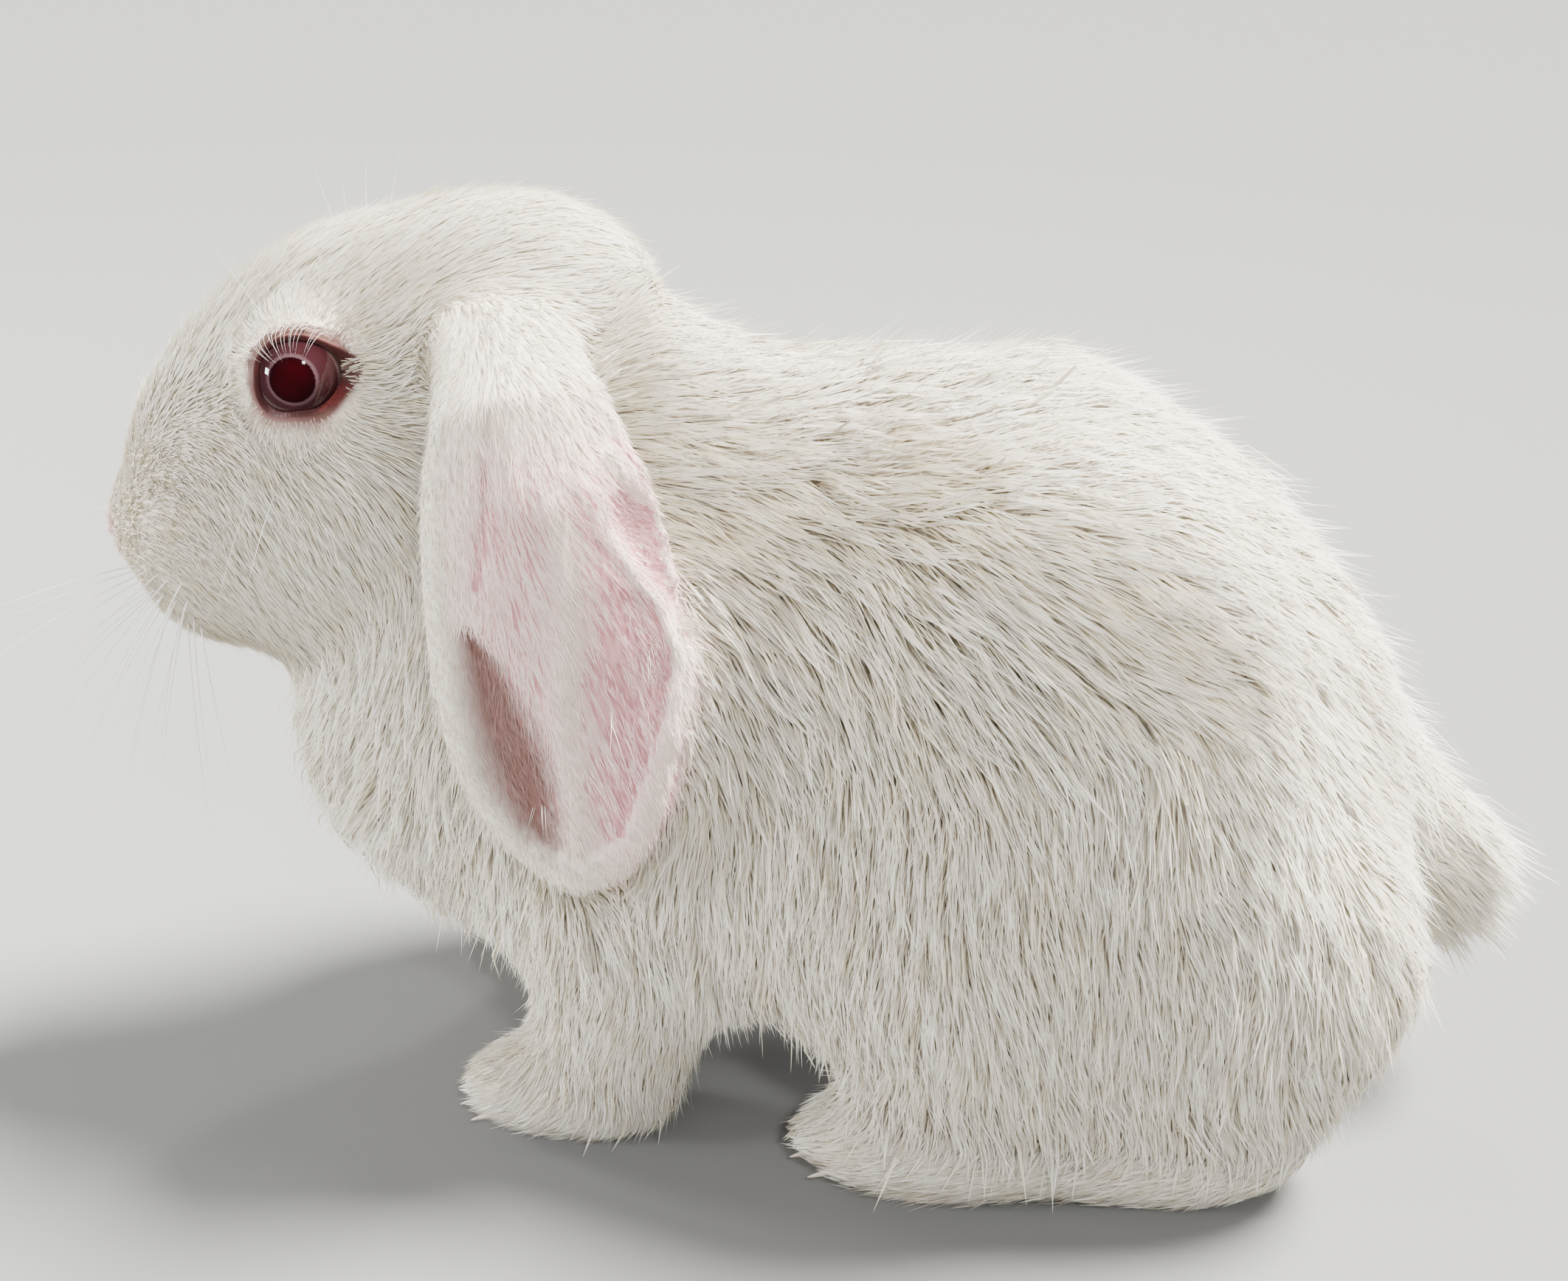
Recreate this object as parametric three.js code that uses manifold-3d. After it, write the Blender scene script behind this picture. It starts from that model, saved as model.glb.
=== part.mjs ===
// A lop-eared rabbit, standing with its head up, life size.
// Millimetres, +Z up. The nose points along -X and the rabbit's left side faces -Y.
// The flesh is one smooth blend of ellipsoids, polygonised once at each fineness and parted by thin
// cuts into the named parts of the body. Its outline is the outline of the coat.
import * as THREE from "three";
import { mergeVertices } from "three/addons/utils/BufferGeometryUtils.js";
import Module from "manifold-3d";

const wasm = await Module();
wasm.setup();

// Driving dimensions.
const CUT = 0.35; // width of the gap between two parts
const HEAD_CELL = 8; // edge of the cells that the head is polygonised with
const BODY_CELL = 13.2; // the same for the trunk and legs
const PAW_CELL = 9.2; // the same for the feet and tail
const EYE_RADIUS = 9.2;
const EYE_CENTRE = [-94.3, 24.8, 174];
const EAR_THICKNESS = 4.6;
const EAR_CLEARANCE = 1.6; // between the hanging ear and the flesh behind it
const EAR_STATIONS = 13;
const EAR_POINTS = 14; // points round one station
const EAR_ROOT = 0.2; // the share of the ear's length that is sunk in the crown
const CLAW_LENGTH = 9;
const CLAW_RADIUS = 1.5;
const CLAW_DROP = 2.6; // of its tip below its root
const CLAW_STATIONS = 3;
const CLAW_POINTS = 5; // points round one station
const CLAW_SHOWS = 1.6; // how much of a claw stands out of the coat
const CLAW_HEIGHT = 6.2; // of its root above the floor
const RIGHT_FOREFOOT_STEP = -7; // the right forefoot stands a little ahead of the left one
const RIGHT_HINDFOOT_STEP = 6; // and the right hind foot a little behind

// ---------------------------------------------------------------------------------------------
// Signed fields of the flesh: negative inside.

// An ellipsoid with its centre, half-axes, and its turn about Y (nose down is positive), in degrees.
// k is how widely it blends into what comes before it.
const lump = (centre, radii, turn = 0, k = 14) => {
  const angle = THREE.MathUtils.degToRad(turn);
  return { centre, radii, cos: Math.cos(angle), sin: Math.sin(angle), k };
};

function lumpField({ centre, radii, cos, sin }, x, y, z) {
  const dx = x - centre[0];
  const dz = z - centre[2];
  const px = (cos * dx - sin * dz) / radii[0];
  const py = (y - centre[1]) / radii[1];
  const pz = (sin * dx + cos * dz) / radii[2];
  const reach = Math.hypot(px, py, pz);
  const slope = Math.hypot(px / radii[0], py / radii[1], pz / radii[2]);
  return slope < 1e-9 ? -Math.min(...radii) : (reach * (reach - 1)) / slope;
}

function blend(a, b, k) {
  const h = Math.max(k - Math.abs(a - b), 0) / k;
  return Math.min(a, b) - (h * h * k) / 4;
}

const mirrored = ({ centre, ...rest }, stepBack = 0) => ({
  ...rest,
  centre: [centre[0] + stepBack, -centre[1], centre[2]],
});

// The middle of the body: lumps on the centre line, and pairs that are the same on both sides.
const TRUNK = [
  lump([-4, 0, 108], [80, 48, 67]), // rib cage
  lump([44, 0, 110], [72, 54, 66], 0, 20), // loin
  lump([30, 0, 76], [88, 50, 44], 0, 18), // belly
  lump([85, 0, 91], [65, 47, 54], 42, 18), // rump
  lump([-64, 0, 84], [49, 37, 49], -14, 20), // chest
  lump([-38, 0, 62], [46, 32, 34], 0, 16), // breast between the forelegs
  lump([84, 0, 58], [56, 36, 38], 6, 16), // groin between the thighs
];
const TRUNK_PAIRS = [
  lump([-28, -22, 88], [34, 24, 50], 0, 18), // shoulder
  lump([62, -38, 103], [46, 31, 69], -10, 14), // haunch
  lump([-2, -29, 64], [40, 20, 36], 0, 16), // flank behind the elbow
];
const NECK = [
  lump([-54, 0, 132], [42, 34, 46], 20, 20), // throat and neck
  lump([-32, 0, 152], [32, 30, 25], -20, 14), // nape
];
const HEAD = [
  lump([-82, 0, 160], [44, 33, 41], -12, 10), // skull
  lump([-56, 0, 179], [31, 31, 27], 0, 12), // crown, where the ears begin
  lump([-108, 0, 145], [34, 23.5, 33], -24, 14), // bridge of the muzzle
  lump([-121, 0, 121], [20, 17, 17], 0, 10), // lips and chin
  lump([-139, 0, 131], [8, 8, 11], -18, 8), // nose
];
const HEAD_PAIRS = [
  lump([-84, -15, 138], [35, 22, 31], -10, 12), // cheek
  lump([-121, -11.5, 127], [17, 13, 16], 0, 8), // whisker pad
];
const TAIL = [
  lump([148, 0, 70], [26, 18, 18], 36, 12),
  lump([162, 0, 58], [21, 14, 12], 34, 10),
];
const FORELEG = [
  lump([-33, -29, 48], [22, 19, 34], 12, 12), // upper arm and elbow
  lump([-32, -33, 22], [17.5, 15, 24], 10, 10), // forearm
];
const FOREPAW = [lump([-44.5, -35, 9.5], [26, 14.5, 12.5], 0, 8)];
const THIGH = [
  lump([44, -46, 58], [44, 24, 42], 0, 14), // knee and shin
  lump([100, -42, 54], [44, 25, 44], 10, 14), // back of the thigh
];
const HINDFOOT = [
  lump([40, -48, 10], [34, 17, 14], 0, 8), // toes
  lump([88, -47, 10], [36, 16, 15], 0, 10), // hock and heel
];

const pair = (lumps, rightStep = 0) => [
  ...lumps,
  ...lumps.map((l) => mirrored(l, rightStep)),
];
const ALL_FLESH = [
  ...TRUNK,
  ...pair(TRUNK_PAIRS),
  ...NECK,
  ...HEAD,
  ...pair(HEAD_PAIRS),
  ...TAIL,
  ...pair(FORELEG, RIGHT_FOREFOOT_STEP),
  ...pair(FOREPAW, RIGHT_FOREFOOT_STEP),
  ...pair(THIGH, RIGHT_HINDFOOT_STEP),
  ...pair(HINDFOOT, RIGHT_HINDFOOT_STEP),
];

const fleshField = (x, y, z) =>
  ALL_FLESH.reduce((field, l) => blend(field, lumpField(l, x, y, z), l.k), 1e3);

// ---------------------------------------------------------------------------------------------
// Polygonising a field by surface nets: one vertex in each cell that the surface crosses.

// The 12 edges of a cell, as pairs of its corners; corner n is at bits (x, y, z) of n.
const CELL_EDGES = [0, 1, 2, 3, 4, 5, 6, 7].flatMap((a) =>
  [1, 2, 4].filter((bit) => !(a & bit)).map((bit) => [a, a | bit]),
);

// Where two opposite corners of a cell's face are inside and the other two outside, the net would
// touch itself along an edge, so the corner nearest to the surface changes side.
function settle(values, [nx, ny, nz], at) {
  const steps = [at(1, 0, 0), at(0, 1, 0), at(0, 0, 1)];
  let changed = true;
  while (changed) {
    changed = false;
    for (let k = 0; k < nz - 1; k++)
      for (let j = 0; j < ny - 1; j++)
        for (let i = 0; i < nx - 1; i++)
          for (let axis = 0; axis < 3; axis++) {
            const [u, v] = [steps[(axis + 1) % 3], steps[(axis + 2) % 3]];
            const corners = [0, u, u + v, v].map((step) => at(i, j, k) + step);
            const [a, b, c, d] = corners.map((n) => values[n] < 0);
            if (a !== c || b !== d || a === b) continue;
            const least = corners.reduce((m, n) => (Math.abs(values[n]) < Math.abs(values[m]) ? n : m));
            values[least] = values[least] < 0 ? 1e-3 : -1e-3;
            changed = true;
          }
  }
}

// Moves a point along the field's slope onto the surface, where that is near.
function ontoSurface(field, point, cell) {
  const e = 0.5;
  const [x, y, z] = point;
  const value = field(x, y, z);
  const slope = [
    (field(x + e, y, z) - field(x - e, y, z)) / (2 * e),
    (field(x, y + e, z) - field(x, y - e, z)) / (2 * e),
    (field(x, y, z + e) - field(x, y, z - e)) / (2 * e),
  ];
  const steepness = slope.reduce((sum, s) => sum + s * s, 0);
  if (Math.abs(value) > cell / 2 || steepness < 0.2) return point;
  return point.map((v, axis) => v - (value * slope[axis]) / steepness);
}

function surfaceNet(field, box, cell) {
  const counts = box.getSize(new THREE.Vector3()).toArray().map((s) => Math.ceil(s / cell) + 1);
  const [nx, ny, nz] = counts;
  const at = (i, j, k) => i + nx * (j + ny * k);
  const place = (i, j, k) => [box.min.x + i * cell, box.min.y + j * cell, box.min.z + k * cell];
  const values = new Float64Array(nx * ny * nz);
  for (let k = 0; k < nz; k++)
    for (let j = 0; j < ny; j++)
      for (let i = 0; i < nx; i++) {
        const edge = !i || !j || !k || i === nx - 1 || j === ny - 1 || k === nz - 1;
        values[at(i, j, k)] = edge ? cell : field(...place(i, j, k));
      }
  settle(values, counts, at);
  const positions = [];
  const vertexOf = new Map();
  for (let k = 0; k < nz - 1; k++)
    for (let j = 0; j < ny - 1; j++)
      for (let i = 0; i < nx - 1; i++) {
        const sum = [0, 0, 0];
        let crossings = 0;
        for (const [a, b] of CELL_EDGES) {
          const [ia, ja, ka] = [i + (a & 1), j + ((a >> 1) & 1), k + (a >> 2)];
          const [ib, jb, kb] = [i + (b & 1), j + ((b >> 1) & 1), k + (b >> 2)];
          const va = values[at(ia, ja, ka)];
          const vb = values[at(ib, jb, kb)];
          if (va < 0 === vb < 0) continue;
          const t = va / (va - vb);
          [ia + t * (ib - ia), ja + t * (jb - ja), ka + t * (kb - ka)].forEach(
            (v, axis) => (sum[axis] += v),
          );
          crossings++;
        }
        if (!crossings) continue;
        vertexOf.set(at(i, j, k), positions.length / 3);
        positions.push(...ontoSurface(field, place(...sum.map((v) => v / crossings)), cell));
      }
  const triangles = [];
  const steps = [at(1, 0, 0), at(0, 1, 0), at(0, 0, 1)];
  const distance = (a, b) =>
    Math.hypot(...[0, 1, 2].map((axis) => positions[3 * a + axis] - positions[3 * b + axis]));
  for (let k = 0; k < nz - 1; k++)
    for (let j = 0; j < ny - 1; j++)
      for (let i = 0; i < nx - 1; i++) {
        const here = at(i, j, k);
        for (let axis = 0; axis < 3; axis++) {
          const inside = values[here] < 0;
          if (inside === values[here + steps[axis]] < 0) continue;
          const u = steps[(axis + 1) % 3];
          const v = steps[(axis + 2) % 3];
          const ring = [here - u - v, here - v, here, here - u].map((n) => vertexOf.get(n));
          if (!inside) ring.reverse();
          const [a, b, c, d] = ring;
          if (distance(a, c) < distance(b, d)) triangles.push(a, b, c, a, c, d);
          else triangles.push(a, b, d, b, c, d);
        }
      }
  const geometry = new THREE.BufferGeometry();
  geometry.setAttribute("position", new THREE.Float32BufferAttribute(positions, 3));
  geometry.setIndex(triangles);
  return geometry;
}

// ---------------------------------------------------------------------------------------------
// Closed meshes as solids that can be cut, and back.

function solid(geometry) {
  const bare = geometry.clone();
  bare.deleteAttribute("normal");
  bare.deleteAttribute("uv");
  const merged = mergeVertices(bare, 1e-4);
  const mesh = new wasm.Mesh({
    numProp: 3,
    vertProperties: new Float32Array(merged.attributes.position.array),
    triVerts: new Uint32Array(merged.index.array),
  });
  return new wasm.Manifold(mesh);
}

function geometryOf(manifold) {
  const mesh = manifold.getMesh();
  const geometry = new THREE.BufferGeometry();
  geometry.setAttribute("position", new THREE.BufferAttribute(mesh.vertProperties, 3));
  geometry.setIndex(new THREE.BufferAttribute(mesh.triVerts, 1));
  geometry.computeVertexNormals();
  return geometry;
}

const FAR = 500;
function ball(centre, radius) {
  const geometry = new THREE.SphereGeometry(radius, 14, 8);
  geometry.rotateX(Math.PI / 2);
  geometry.translate(...centre);
  return solid(geometry);
}

// An oval block that reaches from a flat inner face out past the body's side.
function room({ centre, radii }, sign, grow = 0) {
  const outline = new THREE.Shape();
  outline.absellipse(centre[0], centre[2], radii[0] + grow, radii[1] + grow, 0, 2 * Math.PI);
  const options = { depth: FAR, curveSegments: 14, bevelEnabled: false };
  const geometry = new THREE.ExtrudeGeometry(outline, options);
  geometry.rotateX(Math.PI / 2);
  geometry.translate(0, sign > 0 ? FAR + centre[1] - grow : grow - centre[1], 0);
  return solid(geometry);
}

// A block that fills the space ahead of a plane, or as much of it as lies near the plane's point.
function spaceAhead({ point, normal, wide = FAR, high = FAR }, gap = 0) {
  const geometry = new THREE.BoxGeometry(high - 2 * gap, wide - 2 * gap, FAR);
  geometry.translate(0, 0, FAR / 2 + gap);
  const ahead = new THREE.Vector3(...normal).normalize();
  geometry.applyQuaternion(
    new THREE.Quaternion().setFromUnitVectors(new THREE.Vector3(0, 0, 1), ahead),
  );
  geometry.translate(...point);
  return solid(geometry);
}

const side = (centre, sign) => [centre[0], sign * centre[1], centre[2]];

// ---------------------------------------------------------------------------------------------
// Where the body is parted.

const HEAD_CUT = { point: [-71, 0, 143], normal: [-0.72, 0, 0.69] }; // head from neck
const NECK_CUT = { point: [-56, 0, 121], normal: [-0.68, 0, 0.73] }; // neck from trunk
const TAIL_CUT = { point: [147, 0, 71], normal: [0.84, 0, -0.54], wide: 42, high: 46 };
const FORELEG_ROOM = { centre: [-41, 8, 14], radii: [42, 44] };
const PAW_CUT = { point: [-46, 0, 15.5], normal: [-0.35, 0, -1] };
const THIGH_ROOM = { centre: [74, 30, 54], radii: [76, 68] };
const HINDFOOT_ROOM = { centre: [68, 30, 10], radii: [82, 34] };
const FLOOR = { point: [0, 0, 0], normal: [0, 0, -1] };
const HINDFOOT_CUT = { point: [60, 0, 21], normal: [0, 0, -1] };

const wholeBox = new THREE.Box3(new THREE.Vector3(-170, -95, -14), new THREE.Vector3(200, 95, 228));
const headBox = new THREE.Box3(new THREE.Vector3(-168, -50, 84), new THREE.Vector3(-10, 50, 228));
const pawBox = (sign) =>
  sign < 0
    ? new THREE.Box3(new THREE.Vector3(-100, -86, -12), new THREE.Vector3(156, -4, 76))
    : new THREE.Box3(new THREE.Vector3(-100, 4, -12), new THREE.Vector3(156, 86, 76));
const tailBox = new THREE.Box3(new THREE.Vector3(106, -44, 24), new THREE.Vector3(200, 44, 112));

const floorBlock = spaceAhead(FLOOR);
const body = solid(surfaceNet(fleshField, wholeBox, BODY_CELL)).subtract(floorBlock);
const headFlesh = solid(surfaceNet(fleshField, headBox, HEAD_CELL));
const tailFlesh = solid(surfaceNet(fleshField, tailBox, PAW_CELL));

// ---------------------------------------------------------------------------------------------
// Ears: a pleated sheet that leaves the crown sideways and hangs past the cheek and neck.

const EAR_LINE = new THREE.CatmullRomCurve3(
  [
    [-56, -12, 190],
    [-55, -26, 188],
    [-52.5, -37.5, 180],
    [-48, -44.5, 163],
    [-44.5, -49, 140],
    [-43, -53, 112],
    [-39, -53.5, 77],
  ].map((p) => new THREE.Vector3(...p)),
);

// Half the ear's width, from its root through its broadest part to its round tip.
function earHalfWidth(t) {
  const opening = 13 + 12 * THREE.MathUtils.smoothstep(t, 0.12, 0.5);
  const beyond = Math.max(0, (t - 0.56) / 0.44);
  return Math.max(opening * Math.sqrt(Math.max(0, 1 - beyond ** 2.6)), 1.5);
}

const earThickness = (t) => EAR_THICKNESS * (2.4 - 1.4 * THREE.MathUtils.smoothstep(t, 0.1, 0.5));

// How far the sheet stands out at a place across it, from -1 at the front edge to 1 at the rear one.
// Near the root it is a fat roll whose rear side drops behind a fold to a low flare; towards the tip
// both flatten into one shallow cup.
function earStandOut(across, t) {
  const rolled = 1 - THREE.MathUtils.smoothstep(t, 0.35, 0.8);
  const fold = THREE.MathUtils.smoothstep(across, 0.25 + 0.5 * t, 0.5 + 0.5 * t);
  const rise = THREE.MathUtils.smoothstep(t, 0.06, 0.34);
  const roll = 10 * rise * (1 - fold) * (1 - 0.9 * ((across + 0.1) / 0.9) ** 2);
  const cup = -3 * across * across;
  return rolled * (roll - 1) + (1 - rolled) * cup;
}

// Lifts a place on the sheet until its under face clears the head and neck that it hangs against.
function drape(place, out, t, standOut) {
  const p = place.clone().addScaledVector(out, standOut);
  if (t < EAR_ROOT) return p;
  const clear = earThickness(t) / 2 + EAR_CLEARANCE;
  while (fleshField(p.x, p.y, p.z) < clear) p.addScaledVector(out, 0.5);
  return p;
}

function earGeometry(sign) {
  const rings = [];
  for (let s = 0; s < EAR_STATIONS; s++) {
    const t = Math.sin(((s / (EAR_STATIONS - 1)) * Math.PI) / 2);
    const centre = EAR_LINE.getPointAt(t);
    const along = EAR_LINE.getTangentAt(t);
    const wide = new THREE.Vector3(1, 0, 0).addScaledVector(along, -along.x).normalize();
    const out = new THREE.Vector3().crossVectors(wide, along).normalize();
    if (out.y > 0 || (Math.abs(out.y) < 1e-6 && out.z < 0)) out.negate();
    const ring = [];
    for (let n = 0; n < EAR_POINTS; n++) {
      const angle = (2 * Math.PI * (n + 0.5)) / EAR_POINTS;
      const across = Math.cos(angle) / Math.cos(Math.PI / EAR_POINTS);
      const face = Math.sign(Math.sin(angle)) * Math.abs(Math.sin(angle)) ** 0.6;
      const place = centre.clone().addScaledVector(wide, across * earHalfWidth(t));
      const p = drape(place, out, t, earStandOut(across, t));
      p.addScaledVector(out, (face * earThickness(t)) / 2);
      ring.push([p.x, -sign * p.y, p.z]);
    }
    rings.push(ring);
  }
  return loft(rings, sign > 0);
}

// Skins a row of rings, each a closed loop of points, and closes both ends.
function loft(rings, turned = false) {
  const count = rings[0].length;
  const positions = rings.flat(2);
  const triangles = [];
  const add = (a, b, c) => (turned ? triangles.push(a, c, b) : triangles.push(a, b, c));
  for (let r = 0; r < rings.length - 1; r++)
    for (let n = 0; n < count; n++) {
      const a = r * count + n;
      const b = r * count + ((n + 1) % count);
      add(a, b, b + count);
      add(a, b + count, a + count);
    }
  // Each end is closed by a strip between its two faces.
  const last = (rings.length - 1) * count;
  for (let n = 0; n < count / 2 - 1; n++) {
    const m = count - 1 - n;
    add(n, m - 1, n + 1);
    add(n, m, m - 1);
    add(last + n, last + n + 1, last + m - 1);
    add(last + n, last + m - 1, last + m);
  }
  const geometry = new THREE.BufferGeometry();
  geometry.setAttribute("position", new THREE.Float32BufferAttribute(positions, 3));
  geometry.setIndex(triangles);
  return geometry;
}

// ---------------------------------------------------------------------------------------------
// Claws: short cones that curve down at the toes.

function clawGeometry(root, grow = 0) {
  const rings = [];
  for (let s = 0; s < CLAW_STATIONS; s++) {
    const t = s / (CLAW_STATIONS - 1);
    const radius = (CLAW_RADIUS + grow) * (1 - 0.8 * t);
    const x = root[0] + grow - (CLAW_LENGTH + 2 * grow) * t;
    const z = root[2] - CLAW_DROP * t * t;
    const ring = [];
    for (let n = 0; n < CLAW_POINTS; n++) {
      const angle = (2 * Math.PI * n) / CLAW_POINTS;
      ring.push([x, root[1] + radius * Math.cos(angle), z + radius * Math.sin(angle)]);
    }
    rings.push(ring);
  }
  return loft(rings, true);
}

// The root of a claw whose tip stands out of the toe, found by walking forward out of the foot.
function clawRoot(x, y, z) {
  let front = x;
  while (fleshField(front, y, z) < 0) front -= 0.2;
  return [front + CLAW_LENGTH - CLAW_SHOWS, y, z];
}

const clawRoots = (x, y, spread, sign, step) =>
  [-1.5, -0.5, 0.5, 1.5].map((n) => clawRoot(x + step, sign * (y + n * spread), CLAW_HEIGHT));

// ---------------------------------------------------------------------------------------------
// The parts, each as its own mesh.

const COAT = new THREE.MeshStandardMaterial({ color: 0xf2efe6, roughness: 0.9, metalness: 0 });
const EAR = new THREE.MeshStandardMaterial({ color: 0xeed9d4, roughness: 0.85, metalness: 0 });
const EYE = new THREE.MeshStandardMaterial({ color: 0x5a1420, roughness: 0.1, metalness: 0 });
const CLAW = new THREE.MeshStandardMaterial({ color: 0xd9c7b4, roughness: 0.4, metalness: 0 });

const rabbit = new THREE.Group();
function addPart(name, manifold, material) {
  const mesh = new THREE.Mesh(geometryOf(manifold), material);
  mesh.name = name;
  rabbit.add(mesh);
}

const SIDES = [
  ["left", -1, 0, 0],
  ["right", 1, RIGHT_FOREFOOT_STEP, RIGHT_HINDFOOT_STEP],
];

let head = headFlesh.intersect(spaceAhead(HEAD_CUT, CUT / 2));
let trunk = body.subtract(spaceAhead(NECK_CUT, -CUT)).subtract(spaceAhead(TAIL_CUT, -CUT));
const neck = body
  .intersect(spaceAhead(NECK_CUT))
  .subtract(spaceAhead(HEAD_CUT, -CUT / 2));
addPart("neck", neck, COAT);
addPart("tail", tailFlesh.intersect(spaceAhead(TAIL_CUT)), COAT);

for (const [name, sign, foreStep, hindStep] of SIDES) {
  head = head.subtract(ball(side(EYE_CENTRE, sign), EYE_RADIUS + CUT));
  trunk = trunk
    .subtract(room(FORELEG_ROOM, sign, CUT))
    .subtract(room(THIGH_ROOM, sign, CUT))
    .subtract(room(HINDFOOT_ROOM, sign, CUT));
  const feet = solid(surfaceNet(fleshField, pawBox(sign), PAW_CELL)).subtract(floorBlock);
  const foreClaws = clawRoots(-46, 35, 5, sign, foreStep);
  const hindClaws = clawRoots(40, 47, 6, sign, hindStep);
  const legRoom = room(THIGH_ROOM, sign).add(room(HINDFOOT_ROOM, sign));
  const withoutClaws = (manifold, roots) =>
    roots.reduce((rest, root) => rest.subtract(solid(clawGeometry(root, CUT))), manifold);
  addPart(
    `foreleg_${name}`,
    feet.intersect(room(FORELEG_ROOM, sign)).subtract(spaceAhead(PAW_CUT, -CUT)),
    COAT,
  );
  addPart(
    `forepaw_${name}`,
    withoutClaws(feet.intersect(room(FORELEG_ROOM, sign)).intersect(spaceAhead(PAW_CUT)), foreClaws),
    COAT,
  );
  addPart(
    `thigh_${name}`,
    body.intersect(legRoom).subtract(spaceAhead(HINDFOOT_CUT, -CUT)),
    COAT,
  );
  addPart(
    `hindfoot_${name}`,
    withoutClaws(feet.intersect(legRoom).intersect(spaceAhead(HINDFOOT_CUT)), hindClaws),
    COAT,
  );
  foreClaws.forEach((root, n) =>
    addPart(`claw_fore_${name}_${n + 1}`, solid(clawGeometry(root)), CLAW),
  );
  hindClaws.forEach((root, n) =>
    addPart(`claw_hind_${name}_${n + 1}`, solid(clawGeometry(root)), CLAW),
  );
  addPart(`eye_${name}`, ball(side(EYE_CENTRE, sign), EYE_RADIUS), EYE);
}
addPart("head", head, COAT);
addPart("trunk", trunk, COAT);

// The flesh grown by the gap, which the ears are cut back from.
const grownField = (x, y, z) => fleshField(x, y, z) - CUT;
const grownHead = solid(surfaceNet(grownField, headBox, HEAD_CELL));
const grownBody = solid(surfaceNet(grownField, wholeBox, BODY_CELL));
for (const [name, sign] of SIDES)
  addPart(
    `ear_${name}`,
    solid(earGeometry(sign)).subtract(grownHead).subtract(grownBody),
    EAR,
  );

// The origin is the middle of the model's own box, on the floor.
const box = new THREE.Box3().setFromObject(rabbit);
const middle = box.getCenter(new THREE.Vector3());
rabbit.position.set(-middle.x, -middle.y, -box.min.z);
rabbit.updateMatrixWorld(true);

export default rabbit;
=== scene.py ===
import math

import bmesh
import bpy
import numpy as np
from mathutils import Matrix, Vector
from mathutils.bvhtree import BVHTree


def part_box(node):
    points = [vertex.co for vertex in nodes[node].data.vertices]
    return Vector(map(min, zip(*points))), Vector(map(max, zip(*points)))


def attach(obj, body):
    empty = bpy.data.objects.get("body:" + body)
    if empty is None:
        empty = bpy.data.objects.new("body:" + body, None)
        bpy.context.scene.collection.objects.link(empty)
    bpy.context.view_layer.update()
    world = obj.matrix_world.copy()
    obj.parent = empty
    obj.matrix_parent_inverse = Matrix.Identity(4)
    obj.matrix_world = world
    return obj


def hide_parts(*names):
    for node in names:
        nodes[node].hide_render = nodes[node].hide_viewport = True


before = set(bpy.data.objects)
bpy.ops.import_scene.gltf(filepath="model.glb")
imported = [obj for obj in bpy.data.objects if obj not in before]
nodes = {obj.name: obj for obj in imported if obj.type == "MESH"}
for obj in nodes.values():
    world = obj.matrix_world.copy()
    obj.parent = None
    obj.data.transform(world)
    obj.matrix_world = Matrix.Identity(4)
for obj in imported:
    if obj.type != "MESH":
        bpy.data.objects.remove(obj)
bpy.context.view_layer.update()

# ---------------------------------------------------------------------------------------- Camera
# The rabbit is seen from its left, from a little above its back and close by, as someone sees a
# pet on a table. The camera looks straight across it, tipped down, and leans slightly.

CAMERA_PLACE = (-0.0170, -0.3251, 0.2704)
CAMERA_TIPPED_DOWN = math.radians(26.5)
CAMERA_LEAN = math.radians(2.3)
CAMERA_LENS = 37.27

camera = bpy.data.objects.new("camera", bpy.data.cameras.new("camera"))
bpy.context.scene.collection.objects.link(camera)
camera.data.lens = CAMERA_LENS
camera.data.clip_start = 0.01
camera.matrix_world = (
    Matrix.Translation(CAMERA_PLACE)
    @ Matrix.Rotation(math.pi / 2 - CAMERA_TIPPED_DOWN, 4, "X")
    @ Matrix.Rotation(CAMERA_LEAN, 4, "Z")
)
bpy.context.scene.camera = camera

# ------------------------------------------------------------------------------------------ Hide
# The skin of a rabbit is one thin, loose sheet from nose to tail. Here it is one closed net over
# every part of flesh, sunk by the depth of the coat that grows from it, then worked into lids,
# nostrils and ears. Each of its points carries the length and the lie of its own hair.

SIDES = {"left": -1, "right": 1}
HIDE_GRAIN = 0.0023
SEAM_LAP = 0.0004
MERGE_DISTANCE = 0.00001
FLESH = [name for name in sorted(nodes) if not name.startswith(("eye_", "claw_"))]
EYES = ["eye_left", "eye_right"]
COVERED = FLESH + EYES


def unit(vectors):
    """The same directions, each one long."""
    return vectors / np.maximum(np.linalg.norm(vectors, axis=-1, keepdims=True), 1e-9)


def rise_between(value, low, high):
    """0 below low, 1 above high, and a smooth rise between them."""
    share = np.clip((value - low) / (high - low), 0, 1)
    return share * share * (3 - 2 * share)


def merged_copy(node, swell=0.0):
    """A node's surface as one closed net of its own, swelled along its normals."""
    net = bmesh.new()
    net.from_mesh(node.data)
    bmesh.ops.remove_doubles(net, verts=net.verts, dist=MERGE_DISTANCE)
    net.normal_update()
    for point in net.verts:
        point.co += point.normal * swell
    mesh = bpy.data.meshes.new(node.name)
    net.to_mesh(mesh)
    net.free()
    return mesh


def place(name, mesh):
    """A new object at the origin that holds this mesh."""
    piece = bpy.data.objects.new(name, mesh)
    bpy.context.scene.collection.objects.link(piece)
    return piece


def finished_mesh(piece):
    """What a piece's modifiers make of it, as a plain mesh of its own."""
    depsgraph = bpy.context.evaluated_depsgraph_get()
    return bpy.data.meshes.new_from_object(piece.evaluated_get(depsgraph))


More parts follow.
